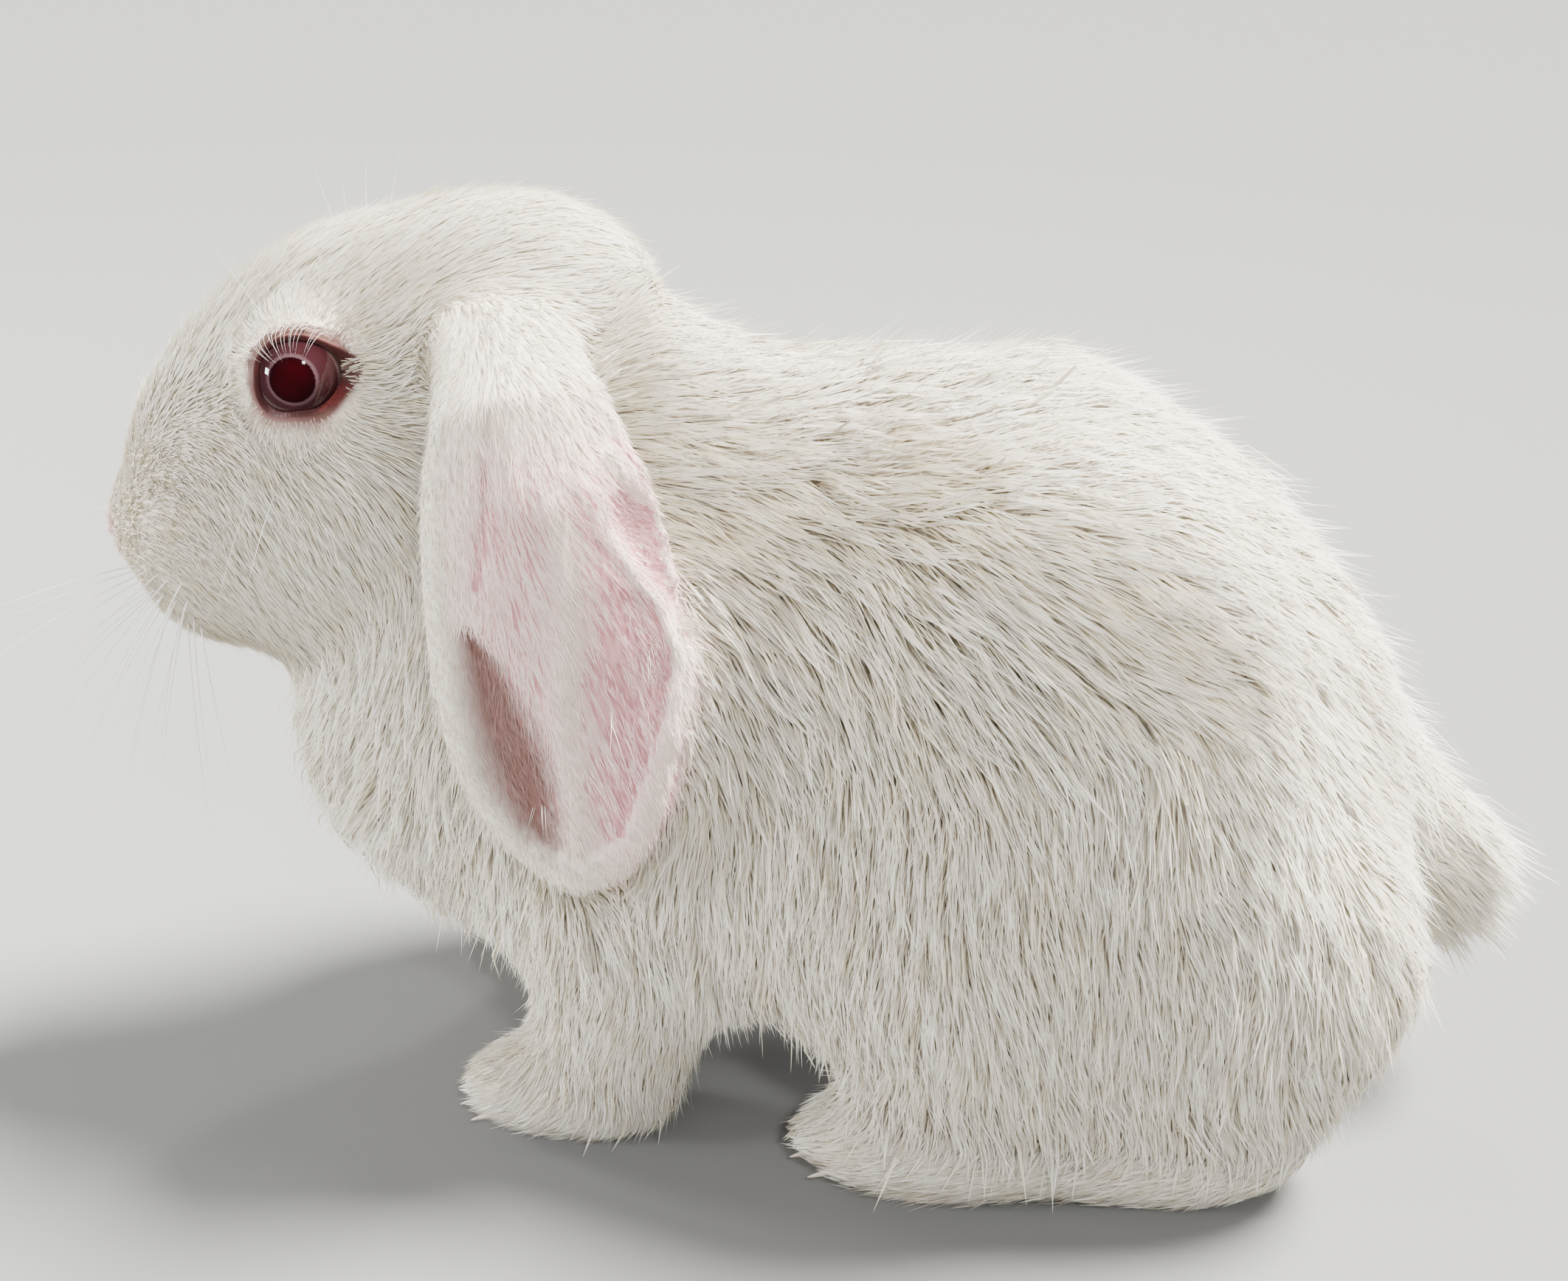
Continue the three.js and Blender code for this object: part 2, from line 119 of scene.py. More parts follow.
def read(collection, name, width, kind=np.float64):
    """One property of every element of a mesh, as an array with a row for each."""
    values = np.empty(len(collection) * width, kind)
    collection.foreach_get(name, values)
    return values.reshape(-1, width) if width > 1 else values


def centre_of(name):
    """The middle of a node's box and half of its longest side."""
    low, high = (np.array(corner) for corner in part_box(name))
    return (low + high) / 2, (high - low).max() / 2


eye_centres = {side: centre_of(f"eye_{side}")[0] for side in SIDES}
eye_radius = centre_of("eye_left")[1]
NOSE_TIP_BEHIND_FRONT, NOSE_TIP_ABOVE_CHIN = 0.003, 0.0275
head_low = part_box("head")[0]
NOSE_TIP = np.array([head_low[0] + NOSE_TIP_BEHIND_FRONT, 0, head_low[2] + NOSE_TIP_ABOVE_CHIN])

joined = bmesh.new()
for name in COVERED:
    joined.from_mesh(merged_copy(nodes[name], SEAM_LAP))
rough = bpy.data.meshes.new("rough_hide")
joined.to_mesh(rough)
joined.free()
rough_hide = place("rough_hide", rough)
remesh = rough_hide.modifiers.new("one_net", "REMESH")
remesh.mode = "VOXEL"
remesh.voxel_size = HIDE_GRAIN
net = bmesh.new()
net.from_mesh(finished_mesh(rough_hide))
bpy.data.objects.remove(rough_hide)

# scraps of net between two parts are dropped: only the outer surface is kept
unseen = set(net.verts)
outer = []
while unseen:
    island = [unseen.pop()]
    for point in island:
        for edge in point.link_edges:
            other = edge.other_vert(point)
            if other in unseen:
                unseen.remove(other)
                island.append(other)
    if len(island) > len(outer):
        outer = island
kept = set(outer)
bmesh.ops.delete(net, geom=[point for point in net.verts if point not in kept], context="VERTS")

# the net is finer where the form is finer: round the eyes, on the nose and over the ears
ear_boxes = [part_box(f"ear_{side}") for side in SIDES]
EAR_MARGIN, HALF_HEAD = 0.002, 0.036


def refine(wanted):
    """Halves the spacing of the hide's points where wanted(place) holds."""
    chosen = [edge for edge in net.edges if wanted(edge.verts[0].co) and wanted(edge.verts[1].co)]
    bmesh.ops.subdivide_edges(net, edges=chosen, cuts=1, use_grid_fill=True)


def near_eye(reach):
    """A test for places within this reach of the middle of an eye."""
    return lambda place: min((place - Vector(centre)).length for centre in eye_centres.values()) < reach


def near_nose(reach):
    """A test for places within this reach of the tip of the nose."""
    return lambda place: (place - Vector(NOSE_TIP)).length < reach


def on_ear(place):
    """True outside the head's own width, inside the box of an ear."""
    return any(
        all(low[axis] - EAR_MARGIN < place[axis] < high[axis] + EAR_MARGIN for axis in range(3))
        for low, high in ear_boxes
    ) and abs(place[1]) > HALF_HEAD


REFINED = (
    near_eye(0.0185), near_eye(0.0150), near_eye(0.0128), on_ear,
    near_nose(0.0190), near_nose(0.0145), near_nose(0.0110),
)
for fine in REFINED:
    refine(fine)
bmesh.ops.triangulate(net, faces=[face for face in net.faces if len(face.verts) > 4])
hide_mesh = bpy.data.meshes.new("hide")
net.to_mesh(hide_mesh)
net.free()

hide_mesh.calc_loop_triangles()
points = read(hide_mesh.vertices, "co", 3)
edges = read(hide_mesh.edges, "vertices", 2, np.int32)
triangles = read(hide_mesh.loop_triangles, "vertices", 3, np.int32)
degree = np.bincount(edges.ravel(), minlength=len(points))[:, None]


def even_out(values, passes, rate=0.5):
    """Draws the value at each point of the hide towards its neighbours' mean, so many times."""
    for _ in range(passes):
        near = np.stack(
            [
                np.bincount(edges[:, 0], column[edges[:, 1]], len(column))
                + np.bincount(edges[:, 1], column[edges[:, 0]], len(column))
                for column in values.T
            ],
            axis=1,
        )
        values = values + rate * (near / degree - values)
    return values


def evened(numbers, passes):
    """The same for one number at each point."""
    return even_out(numbers[:, None], passes)[:, 0]


def outward(places):
    """The hide's normal at each of its points."""
    corner = places[triangles]
    faces = np.cross(corner[:, 1] - corner[:, 0], corner[:, 2] - corner[:, 0])
    total = np.stack(
        [
            sum(np.bincount(triangles[:, k], column, len(places)) for k in range(3))
            for column in faces.T
        ],
        axis=1,
    )
    return unit(total)


# which part of the rabbit each point belongs to
owners, corners, faces = [], [], []
for index, name in enumerate(COVERED):
    mesh = nodes[name].data
    faces += [[v + len(corners) for v in face.vertices] for face in mesh.polygons]
    corners += [vertex.co[:] for vertex in mesh.vertices]
    owners += [index] * len(mesh.polygons)
tree = BVHTree.FromPolygons(corners, faces)
part = np.array([owners[tree.find_nearest(p)[2]] for p in points])
JOIN_PASSES = 14


def on_parts(names):
    """Which points belong to these parts of the rabbit."""
    return np.isin(part, [COVERED.index(name) for name in names])


def by_part(**values):
    """One value for each point, from a value for each part of the rabbit, blended at the joins."""
    table = [
        next(value for key, value in values.items() if name.startswith(key)) for name in COVERED
    ]
    return evened(np.array(table)[part], JOIN_PASSES)


COAT_DEPTH = dict(
    head=0.0025, neck=0.0060, trunk=0.0064, tail=0.0048, thigh=0.0054, foreleg=0.0036,
    forepaw=0.0012, hindfoot=0.0014, ear=0.0008, eye=0.0010,
)
HAIR_LENGTH = dict(
    head=0.0105, neck=0.0160, trunk=0.0165, tail=0.0260, thigh=0.0155, foreleg=0.0110,
    forepaw=0.0085, hindfoot=0.0090, ear=0.0062, eye=0.0030,
)
SLEEK = dict(
    head=1.0, neck=0.35, trunk=0.0, tail=0.0, thigh=0.1, foreleg=0.5,
    forepaw=0.9, hindfoot=0.8, ear=0.5, eye=1.0,
)
EASE = dict(
    head=0.40, neck=0.9, trunk=0.95, tail=0.35, thigh=0.8, foreleg=0.4,
    forepaw=0.08, hindfoot=0.10, ear=0.10, eye=0.05,
)
BRUSH = dict(
    tail=1.0, forepaw=0.60, hindfoot=0.55, head=0.0, neck=0.0, trunk=0.0, thigh=0.0,
    foreleg=0.0, ear=0.0, eye=0.0,
)
EASE_PASSES, EASE_RATE = 46, 0.55
FACE_REACH = (0.010, 0.075)
MUZZLE_DEPTH, MUZZLE_HAIR = 0.0010, 0.0034
LIDS_REACH = (1.1, 2.2)
LIDS_DEPTH, LIDS_HAIR = 0.0009, 0.0032
DEPTH_PASSES = 6
ON_EAR_PASSES, NEAR_EAR_PASSES = 4, 60
NEAR_EAR_FROM_MIDDLE = (0.024, 0.034)

points = even_out(points, EASE_PASSES, EASE_RATE * by_part(**EASE)[:, None])
normals = even_out(outward(points), 3)
from_nose = np.linalg.norm(points - NOSE_TIP, axis=1)
from_eye = np.min(
    [np.linalg.norm(points - centre, axis=1) for centre in eye_centres.values()], axis=0
)
is_face = on_parts(("head", *EYES))
back_of_face = rise_between(from_nose, *FACE_REACH)
near_lids = 1 - rise_between(from_eye, eye_radius * LIDS_REACH[0], eye_radius * LIDS_REACH[1])


def over_coat(values, at_muzzle, at_lids):
    """A measure of the coat by part, drawn down to its least on the muzzle and by the lids."""
    measure = by_part(**values)
    measure = np.where(is_face, at_muzzle + (measure - at_muzzle) * back_of_face, measure)
    return evened(measure * (1 - near_lids) + at_lids * near_lids, DEPTH_PASSES)


depth = over_coat(COAT_DEPTH, MUZZLE_DEPTH, LIDS_DEPTH)
hair = over_coat(HAIR_LENGTH, MUZZLE_HAIR, LIDS_HAIR)
sleek = by_part(**SLEEK)
brush = by_part(**BRUSH)
ear_points = on_parts(("ear_left", "ear_right")).astype(float)
on_ears = evened(ear_points, ON_EAR_PASSES)
near_ears = evened(ear_points, NEAR_EAR_PASSES)
near_ears *= rise_between(abs(points[:, 1]), *NEAR_EAR_FROM_MIDDLE)
short_hair = np.maximum(on_ears, rise_between(near_ears, 0.05, 0.6))
hair += (HAIR_LENGTH["ear"] - hair) * short_hair * (1 - 0.5 * brush)
depth += (COAT_DEPTH["ear"] - depth) * rise_between(near_ears, 0.10, 0.8)
points = points - unit(normals) * depth[:, None]

# the lids: the hide climbs over the eyeball and ends in a thin rim round a wide opening that is
# drawn out to a low corner in front and a high one behind
LIDS_FACE = np.array([0.198, 0.964, 0.180])
OPENING, OPENS_UPWARD = math.radians(53), math.radians(9)
UPWARD_OF_LIDS = math.radians(80)
UPPER_LID_FALLS = math.radians(14)
CORNERS = ((math.radians(-42), math.radians(25)), (math.radians(164), math.radians(5)))
RIM_WIDTH = math.radians(2.4)
LID_THICKNESS, LID_FILLET = 0.0008, 0.0026
BEHIND_BALL = 0.0008
LID_FOLDS, FOLD_DEPTH, FOLDED_BAND = 4, 0.00022, math.radians(26)
LID_SWELL, SWELL_BAND = 0.0006, (math.radians(2), math.radians(12))
LID_SINK, SINK_BAND = 0.0030, (math.radians(14), math.radians(42))
SOCKET_REACH, SOCKET_TURN = 0.024, math.radians(125)
NEAR_BALL = (0.0108, 0.0130)
PINK_BAND, BARE_BAND = (math.radians(6), math.radians(24)), (math.radians(1), math.radians(9))
DARK_RIM_WIDTH = math.radians(4)
lid_skin = np.zeros(len(points))
lid_rim = np.zeros(len(points))
open_eye = np.zeros(len(points))


def eye_axes(side):
    """The way an eye's lids face, and the ways to the front and the top of their opening."""
    facing = unit(LIDS_FACE * (1, SIDES[side], 1))
    ahead = np.array([-1.0, 0, 0])
    ahead = unit(ahead - facing * (ahead @ facing))
    above = np.cross(ahead, facing)
    return facing, ahead, above * np.sign(above[2])


def opening_at(bearing):
    """How far the lids stand open on this bearing round the eye."""
    corners = sum(reach * np.maximum(np.cos(bearing - corner), 0) ** 10 for corner, reach in CORNERS)
    hood = UPPER_LID_FALLS * np.maximum(np.sin(bearing), 0) ** 2
    return OPENING + OPENS_UPWARD * np.cos(bearing - UPWARD_OF_LIDS) + corners - hood


for side in SIDES:
    facing, ahead, above = eye_axes(side)
    spoke = points - eye_centres[side]
    reach = np.linalg.norm(spoke, axis=1)
    turned = np.arccos(np.clip((spoke @ facing) / reach, -1, 1))
    bearing = np.arctan2(spoke @ above, spoke @ ahead)
    beyond = turned - opening_at(bearing)
    close = (reach < SOCKET_REACH) & (turned < SOCKET_TURN)
    rim = rise_between(beyond, -RIM_WIDTH, RIM_WIDTH)
    upper = np.maximum(np.sin(bearing), 0)
    folds = FOLD_DEPTH * np.sin(beyond / FOLDED_BAND * LID_FOLDS * 2 * math.pi) * upper * rim
    lid = eye_radius - BEHIND_BALL + (LID_THICKNESS + BEHIND_BALL) * rim + folds
    lid += LID_SWELL * rise_between(beyond, *SWELL_BAND)
    lid -= LID_SINK * rise_between(beyond, *SINK_BAND)
    mix = np.clip(0.5 + (reach - lid) / (2 * LID_FILLET), 0, 1)
    over = lid + (reach - lid) * mix + LID_FILLET * mix * (1 - mix)
    near_ball = 1 - rise_between(reach, *NEAR_BALL)
    worked = np.where(beyond < 0, lid, over)
    worked_points = eye_centres[side] + spoke / reach[:, None] * worked[:, None]
    points = np.where(close[:, None], worked_points, points)
    pink_lid = close * near_ball * (1 - rise_between(beyond, *PINK_BAND))
    lid_skin = np.maximum(lid_skin, pink_lid)
    lid_rim = np.maximum(lid_rim, close * np.exp(-((beyond / DARK_RIM_WIDTH) ** 2)))
    bare = close * np.maximum(near_ball, beyond < 0) * (1 - rise_between(beyond, *BARE_BAND))
    open_eye = np.maximum(open_eye, bare)

# the nose: a furred wedge that stands out over the cleft lip, with a slit on each side of it
SNOUT_REACH = (0.012, 0.020)
NOSE_BUMP, NOSE_BUMP_WIDTH, NOSE_BUMP_HEIGHT = 0.0016, 0.0055, 0.0046
LIP_RECESS, LIP_RECESS_DROP, LIP_RECESS_HEIGHT, LIP_RECESS_WIDTH = 0.0014, 0.0048, 0.0026, 0.0085
MUZZLE_BACK = 0.0016
LIP_PAD, LIP_PAD_DROP, LIP_PAD_ASIDE, LIP_PAD_SIZE = 0.0010, 0.0105, 0.0052, 0.0042
CLEFT_DEPTH, CLEFT_WIDTH, CLEFT_STARTS, CLEFT_ENDS = 0.0012, 0.0006, (0.0015, 0.0035), (0.012, 0.014)
SLIT_DEPTH, SLIT_WIDTH = 0.0014, 0.00055
SLIT_INNER, SLIT_OUTER = np.array([0.0018, -0.0022]), np.array([0.0050, 0.0016])
MOUTH_DROP, MOUTH_FALL, MOUTH_WIDTH, MOUTH_ENDS = 0.0138, 0.28, 0.0008, (0.009, 0.014)


def hump(value, width):
    """1 where the value is 0, falling to nothing on both sides of it."""
    return np.exp(-((value / width) ** 2))


x, y, z = points.T
aside, drop = abs(y), NOSE_TIP[2] - z
snout = 1 - rise_between(np.linalg.norm(points - NOSE_TIP, axis=1), *SNOUT_REACH)
slit_way = SLIT_OUTER - SLIT_INNER
slit_aside, slit_up = aside - SLIT_INNER[0], -drop - SLIT_INNER[1]
slit_share = (slit_aside * slit_way[0] + slit_up * slit_way[1]) / (slit_way @ slit_way)
slit_share = np.clip(slit_share, 0, 1)
from_slit = np.hypot(slit_aside - slit_share * slit_way[0], slit_up - slit_share * slit_way[1])
slit = snout * hump(from_slit, SLIT_WIDTH)
cleft = snout * hump(aside, CLEFT_WIDTH) * rise_between(drop, *CLEFT_STARTS)
cleft *= 1 - rise_between(drop, *CLEFT_ENDS)
mouth_line = drop - MOUTH_DROP - MOUTH_FALL * aside
mouth = snout * hump(mouth_line, MOUTH_WIDTH) * (1 - rise_between(aside, *MOUTH_ENDS))
shift = NOSE_BUMP * hump(drop, NOSE_BUMP_HEIGHT) * hump(aside, NOSE_BUMP_WIDTH)
shift += LIP_PAD * hump(drop - LIP_PAD_DROP, LIP_PAD_SIZE) * hump(aside - LIP_PAD_ASIDE, LIP_PAD_SIZE)
shift -= LIP_RECESS * hump(drop - LIP_RECESS_DROP, LIP_RECESS_HEIGHT) * hump(aside, LIP_RECESS_WIDTH)
shift -= CLEFT_DEPTH * (cleft + mouth) + SLIT_DEPTH * slit
below_nose = rise_between(drop, 0.0015, 0.0060) * (1 - rise_between(drop, 0.018, 0.032))
points[:, 0] += MUZZLE_BACK * below_nose * rise_between(-x, 0.138, 0.158) - shift * snout
# painted shade: the nostril slits, the cleft and the mouth line are darkened where shade falls into
# them
muzzle_crease_shade = np.clip(slit + 0.45 * (cleft + mouth), 0, 1)

# the ears: a long hollow behind the rolled edge, a ridge down the middle, and at the top of the
# rear edge a flare that is folded back behind the rest. Each line is x, z and half a width.
EAR_HOLLOW = (
    (-0.0763, 0.1328, 0.0020), (-0.0736, 0.1266, 0.0040), (-0.0713, 0.1174, 0.0056),
    (-0.0675, 0.1042, 0.0068), (-0.0642, 0.0934, 0.0052), (-0.0606, 0.0875, 0.0025),
)
EAR_RIDGE = (
    (-0.0594, 0.1603, 0.0016), (-0.0570, 0.1451, 0.0020), (-0.0579, 0.1273, 0.0022),
    (-0.0582, 0.1133, 0.0024), (-0.0569, 0.0988, 0.0026), (-0.0577, 0.0804, 0.0040),
)
EAR_CREASE = ((-0.0712, 0.1760, 0.0010), (-0.0720, 0.1564, 0.0013), (-0.0738, 0.1440, 0.0010))
EAR_EDGE = (
    (-0.0818, 0.1848, 0.0040), (-0.0854, 0.1649, 0.0048), (-0.0859, 0.1395, 0.0056),
    (-0.0855, 0.1214, 0.0072), (-0.0815, 0.0976, 0.0070), (-0.0703, 0.0809, 0.0082),
    (-0.0547, 0.0769, 0.0080), (-0.0442, 0.0903, 0.0036), (-0.0367, 0.1190, 0.0024),
    (-0.0360, 0.1319, 0.0020), (-0.0409, 0.1544, 0.0016), (-0.0508, 0.1680, 0.0014),
)
EAR_FOLD = (
    (-0.0522, 0.1783, 0.0012), (-0.0516, 0.1680, 0.0012), (-0.0502, 0.1548, 0.0012),
    (-0.0448, 0.1456, 0.0012), (-0.0409, 0.1406, 0.0012), (-0.0360, 0.1280, 0.0012),
)
EAR_ROOT = (-0.083, 0.205)
HOLLOW_DEPTH, CREASE_DEPTH, FLARE_DROP = 0.0024, 0.0008, 0.0026
RIDGE_HEIGHT, ROLL_HEIGHT = 0.0010, 0.0009
HOLLOW_FADES, EDGE_FADES, RIDGE_FADE, FOLD_FADE = (0.25, 1.75), (0.65, 1.15), 1.2, 1.2
FLARE_STARTS, FLARE_ENDS, FLARE_STEP = (0.126, 0.132), (0.150, 0.170), 0.0014


def from_line(places, line):
    """How many of its own half widths each place is from a broken line."""
    best = np.full(len(places), 99.0)
    flat = places[:, (0, 2)]
    for start, end in zip(np.array(line[:-1]), np.array(line[1:])):
        along = end[:2] - start[:2]
        share = np.clip((flat - start[:2]) @ along / (along @ along), 0, 1)
        away = np.linalg.norm(flat - start[:2] - share[:, None] * along, axis=1)
        best = np.minimum(best, away / (start[2] + share * (end[2] - start[2])))
    return best


def line_at(line, heights):
    """Where a broken line stands, from front to rear, at each height."""
    return np.interp(heights, [p[1] for p in line[::-1]], [p[0] for p in line[::-1]])


x, y, z = points.T
outer_side = rise_between(normals[:, 1] * np.sign(y), -0.2, 0.3)
hollow = on_ears * (1 - rise_between(from_line(points, EAR_HOLLOW), *HOLLOW_FADES))
ridge = on_ears * hump(from_line(points, EAR_RIDGE), RIDGE_FADE)
crease = on_ears * hump(from_line(points, EAR_CREASE), 1.0)
edge = on_ears * (1 - rise_between(from_line(points, EAR_EDGE), *EDGE_FADES))
past_fold = x - line_at(EAR_FOLD, z)
below_top = rise_between(z, *FLARE_STARTS) * (1 - rise_between(z, *FLARE_ENDS))
flare = on_ears * rise_between(past_fold, 0.0, FLARE_STEP) * below_top
fold = on_ears * hump(from_line(points, EAR_FOLD), FOLD_FADE) * below_top * (1 - flare)
relief = RIDGE_HEIGHT * ridge + ROLL_HEIGHT * (edge + fold) * (1 - flare)
relief -= HOLLOW_DEPTH * hollow + CREASE_DEPTH * crease + FLARE_DROP * flare
points[:, 1] += np.sign(y) * relief

# the tail's flesh ends well inside its brush of hair
TAIL_DRAWN_IN, TAIL_LENGTHWAYS, TAIL_PASSES = 0.014, (0.128, 0.160), 8
tail_points = evened(on_parts(["tail"]).astype(float), TAIL_PASSES)
points[:, 0] -= TAIL_DRAWN_IN * rise_between(points[:, 0], *TAIL_LENGTHWAYS) * tail_points

normals = outward(points)

# the lie of the hair: back over the head and body, bending down on the flanks, down the legs and
# ears, forward over the paws, and out behind the tail
x, y, z = points.T
BACK_HEIGHTS = (0.050, 0.090, 0.110, 0.140, 0.172)
BACK_SLOPES = (84, 80, 64, 35, 4)
CHEST_STARTS, CHEST_LIE = (0.055, 0.100), np.array([-0.25, 0, -0.97])
FACES_DOWN, BELLY_LIE = (0.45, 0.85), np.array([1.0, 0, 0])
JOWL_REACH, JOWL_DROP, JOWL_FALL = (0.015, 0.065), (-0.004, 0.030), np.array([0, 0, -1.35])
PARTS_ROUND_EYE = (0.0115, 0.0180)
TAIL_ROOT_STARTS, TAIL_ROOT_LIE = (0.092, 0.128), np.array([0.80, 0, -0.60])
TAIL_ROOT_HEIGHT, TAIL_ROOT_REACH, LONGER_BY_TAIL = 0.072, 0.034, 0.0070
FLARE_LIE = np.array([1.0, 0, -0.42])
STRAIGHT_PASSES, LIE_ROUNDS, LIE_PASSES = 12, 5, 3
slope = np.radians(np.interp(z, BACK_HEIGHTS, BACK_SLOPES))
along_body = np.stack([np.cos(slope), 0 * x, -np.sin(slope)], 1)
chest = rise_between(-x, *CHEST_STARTS)[:, None]
along_body = along_body * (1 - chest) + CHEST_LIE * chest
underneath = rise_between(-normals[:, 2], *FACES_DOWN)[:, None]
along_body = along_body * (1 - underneath) + BELLY_LIE * underneath
away_from_nose = unit(points - NOSE_TIP)
eye_height = eye_centres["left"][2]
jowl = rise_between(from_nose, *JOWL_REACH) * rise_between(eye_height - z, *JOWL_DROP)
on_face = unit(away_from_nose + JOWL_FALL * jowl[:, None])
for centre in eye_centres.values():
    away = points - centre
    share = 1 - rise_between(np.linalg.norm(away, axis=1), *PARTS_ROUND_EYE)
    on_face = on_face * (1 - share)[:, None] + unit(away) * share[:, None]
tail_root = rise_between(x, *TAIL_ROOT_STARTS) * hump(z - TAIL_ROOT_HEIGHT, TAIL_ROOT_REACH)
hair = hair + LONGER_BY_TAIL * tail_root * (1 - brush)
along_body = along_body * (1 - tail_root)[:, None] + TAIL_ROOT_LIE * tail_root[:, None]
from_root = np.stack([x - EAR_ROOT[0], EAR_ROOT[1] - z], 1)
root_reach = np.linalg.norm(from_root, axis=1)
root_angle = np.arctan2(from_root[:, 0], from_root[:, 1])
flared = flare[:, None]
on_ear_lie = np.stack([np.sin(root_angle), 0 * x, -np.cos(root_angle)], 1)
on_ear_lie = on_ear_lie * (1 - flared) + FLARE_LIE * flared
LIE = dict(
    neck=along_body,
    trunk=along_body,
    head=on_face,
    eye=on_face,
    ear=on_ear_lie,
    tail=np.stack([0.74 + 0.20 * normals[:, 2], 0 * x, -0.62 + 0.24 * normals[:, 2]], 1),
    thigh=np.array([0.18, 0, -1.0]) + 0 * points,
    foreleg=np.array([-0.08, 0, -1.0]) + 0 * points,
    forepaw=np.array([-1.0, 0, -0.25]) + 0 * points,
    hindfoot=np.array([-1.0, 0, -0.18]) + 0 * points,
)
lie = np.zeros_like(points)
for index, name in enumerate(COVERED):
    chosen = part == index
    lie[chosen] = next(field for key, field in LIE.items() if name.startswith(key))[chosen]
straight = unit(even_out(lie, STRAIGHT_PASSES))
for _ in range(LIE_ROUNDS):
    lie = even_out(lie, LIE_PASSES)
    lie = unit(lie - normals * np.sum(lie * normals, axis=1, keepdims=True))
lie = unit(lie * (1 - brush)[:, None] + straight * brush[:, None])

# where the skin is bare or painted with shade, where it shows pink through the hair, and how full the
# coat is
PINK_TOP, PINK_FADE = 0.188, 0.032
BEHIND_EDGE, BEHIND_RIDGE = (0.006, 0.016), (0.002, 0.012)
NOSE_SKIN_REACH, NOSE_SKIN_WIDTH, NOSE_SKIN_PINK = (0.005, 0.010), (0.004, 0.008), 0.70
HANGS_FROM, SOLE_HEIGHT, SOLE_FADE = (0.5, 0.9), 0.004, 0.002
lower_ear = rise_between(PINK_TOP - z, 0, PINK_FADE)
mid_ear = rise_between(x - line_at(EAR_EDGE[:6], z), *BEHIND_EDGE)
behind_ridge = rise_between(x - line_at(EAR_RIDGE, z), *BEHIND_RIDGE)
pink = 0.30 + 0.42 * mid_ear + 0.35 * crease + 0.30 * flare + 0.30 * behind_ridge
pink = on_ears * lower_ear * np.clip(pink - 0.42 * ridge - 0.62 * edge - 0.55 * fold, 0, 1)
hair = hair * (1 - 0.60 * flare) * (1 - 0.30 * edge)
pink = pink * (0.35 + 0.65 * outer_side)
# painted shade in each ear's hollow, over its pink skin, most on the ear's outer side
dusk = hollow * (0.4 + 0.6 * outer_side) * (1 - ridge) * (1 - edge)
nose_skin = 1 - rise_between(from_nose, *NOSE_SKIN_REACH)
nose_skin *= 1 - rise_between(abs(y), *NOSE_SKIN_WIDTH)
fullness = np.clip(1 - open_eye * 1.15, 0, 1)
fullness *= (1 - 0.10 * dusk) * (1 - 0.25 * pink) * (1 - 0.45 * on_ears * (1 - outer_side))
fullness *= 1 + (0.7 * (1 - back_of_face) + 0.7 * near_lids) * is_face
fullness *= np.clip(1 - 1.6 * muzzle_crease_shade, 0, 1)
hanging = rise_between(-normals[:, 2], *HANGS_FROM) * (1 - is_face)
fullness *= 1 - 0.5 * hanging
sole = rise_between(SOLE_HEIGHT - z, 0, SOLE_FADE)
fullness *= 1 - 0.6 * sole

# the way the hair's own streaks run: across them, and more slowly along them
STREAK_STRETCH, MEAN_ROOT_REACH = 0.12, 0.085
combed = np.stack([x + 0.2 * z, y, STREAK_STRETCH * z], 1)
fanned = np.stack([root_angle * MEAN_ROOT_REACH, y, root_reach * STREAK_STRETCH], 1)
swept = np.stack([z + 0.42 * x, y, x * STREAK_STRETCH], 1)
combed = np.where((on_ears > 0.5)[:, None], np.where(flared > 0.5, swept, fanned), combed)


def keep(mesh, name, values, kind, domain="POINT"):
    """Stores one value for each point or face of a mesh under this name."""
    store = mesh.attributes.new(name, kind, domain)
    field = "vector" if kind == "FLOAT_VECTOR" else "value"
    store.data.foreach_set(field, np.ascontiguousarray(values).ravel())


hide_mesh.vertices.foreach_set("co", points.ravel())
hide_mesh.update()
ON_HIDE = {
    "lie": lie,
    "upward": unit(even_out(normals, 2)),
    "hair": hair,
    "depth": depth,
    "fullness": fullness,
    "sleek": sleek,
    "blush": np.maximum(pink, nose_skin * NOSE_SKIN_PINK),
    "dusk": dusk,
    "lid": lid_skin,
    # the lids' own dark margins, and the painted shade in the slits and creases of the muzzle
    "rim": np.maximum(lid_rim, muzzle_crease_shade),
    "follow": 1 - np.maximum(0.7 * on_ears, 0.85 * brush),
    "combed": combed,
}
for name, values in ON_HIDE.items():
    keep(hide_mesh, name, values, "FLOAT_VECTOR" if values.ndim == 2 else "FLOAT")
hide_mesh.polygons.foreach_set("use_smooth", np.ones(len(hide_mesh.polygons), bool))

hide = place("hide", hide_mesh)
bpy.context.view_layer.objects.active = hide
bpy.ops.object.select_all(action="DESELECT")
hide.select_set(True)
hide_mesh.uv_layers.new(name="OFBake")
bpy.ops.object.mode_set(mode="EDIT")
bpy.ops.mesh.select_all(action="SELECT")
bpy.ops.uv.smart_project(angle_limit=math.radians(66), island_margin=0.002)
bpy.ops.object.mode_set(mode="OBJECT")


def node(tree, kind, *wires, pick=0, **settings):
    """Adds a node with its settings, fills its inputs in order, and returns one of its outputs."""
    made = tree.nodes.new(kind)
    for name, value in settings.items():
        setattr(made, name, value)
    for socket, wire in zip([socket for socket in made.inputs if socket.enabled], wires):
        if isinstance(wire, bpy.types.NodeSocket):
            tree.links.new(wire, socket)
        elif wire is not None:
            socket.default_value = wire
    return [socket for socket in made.outputs if socket.enabled][pick]


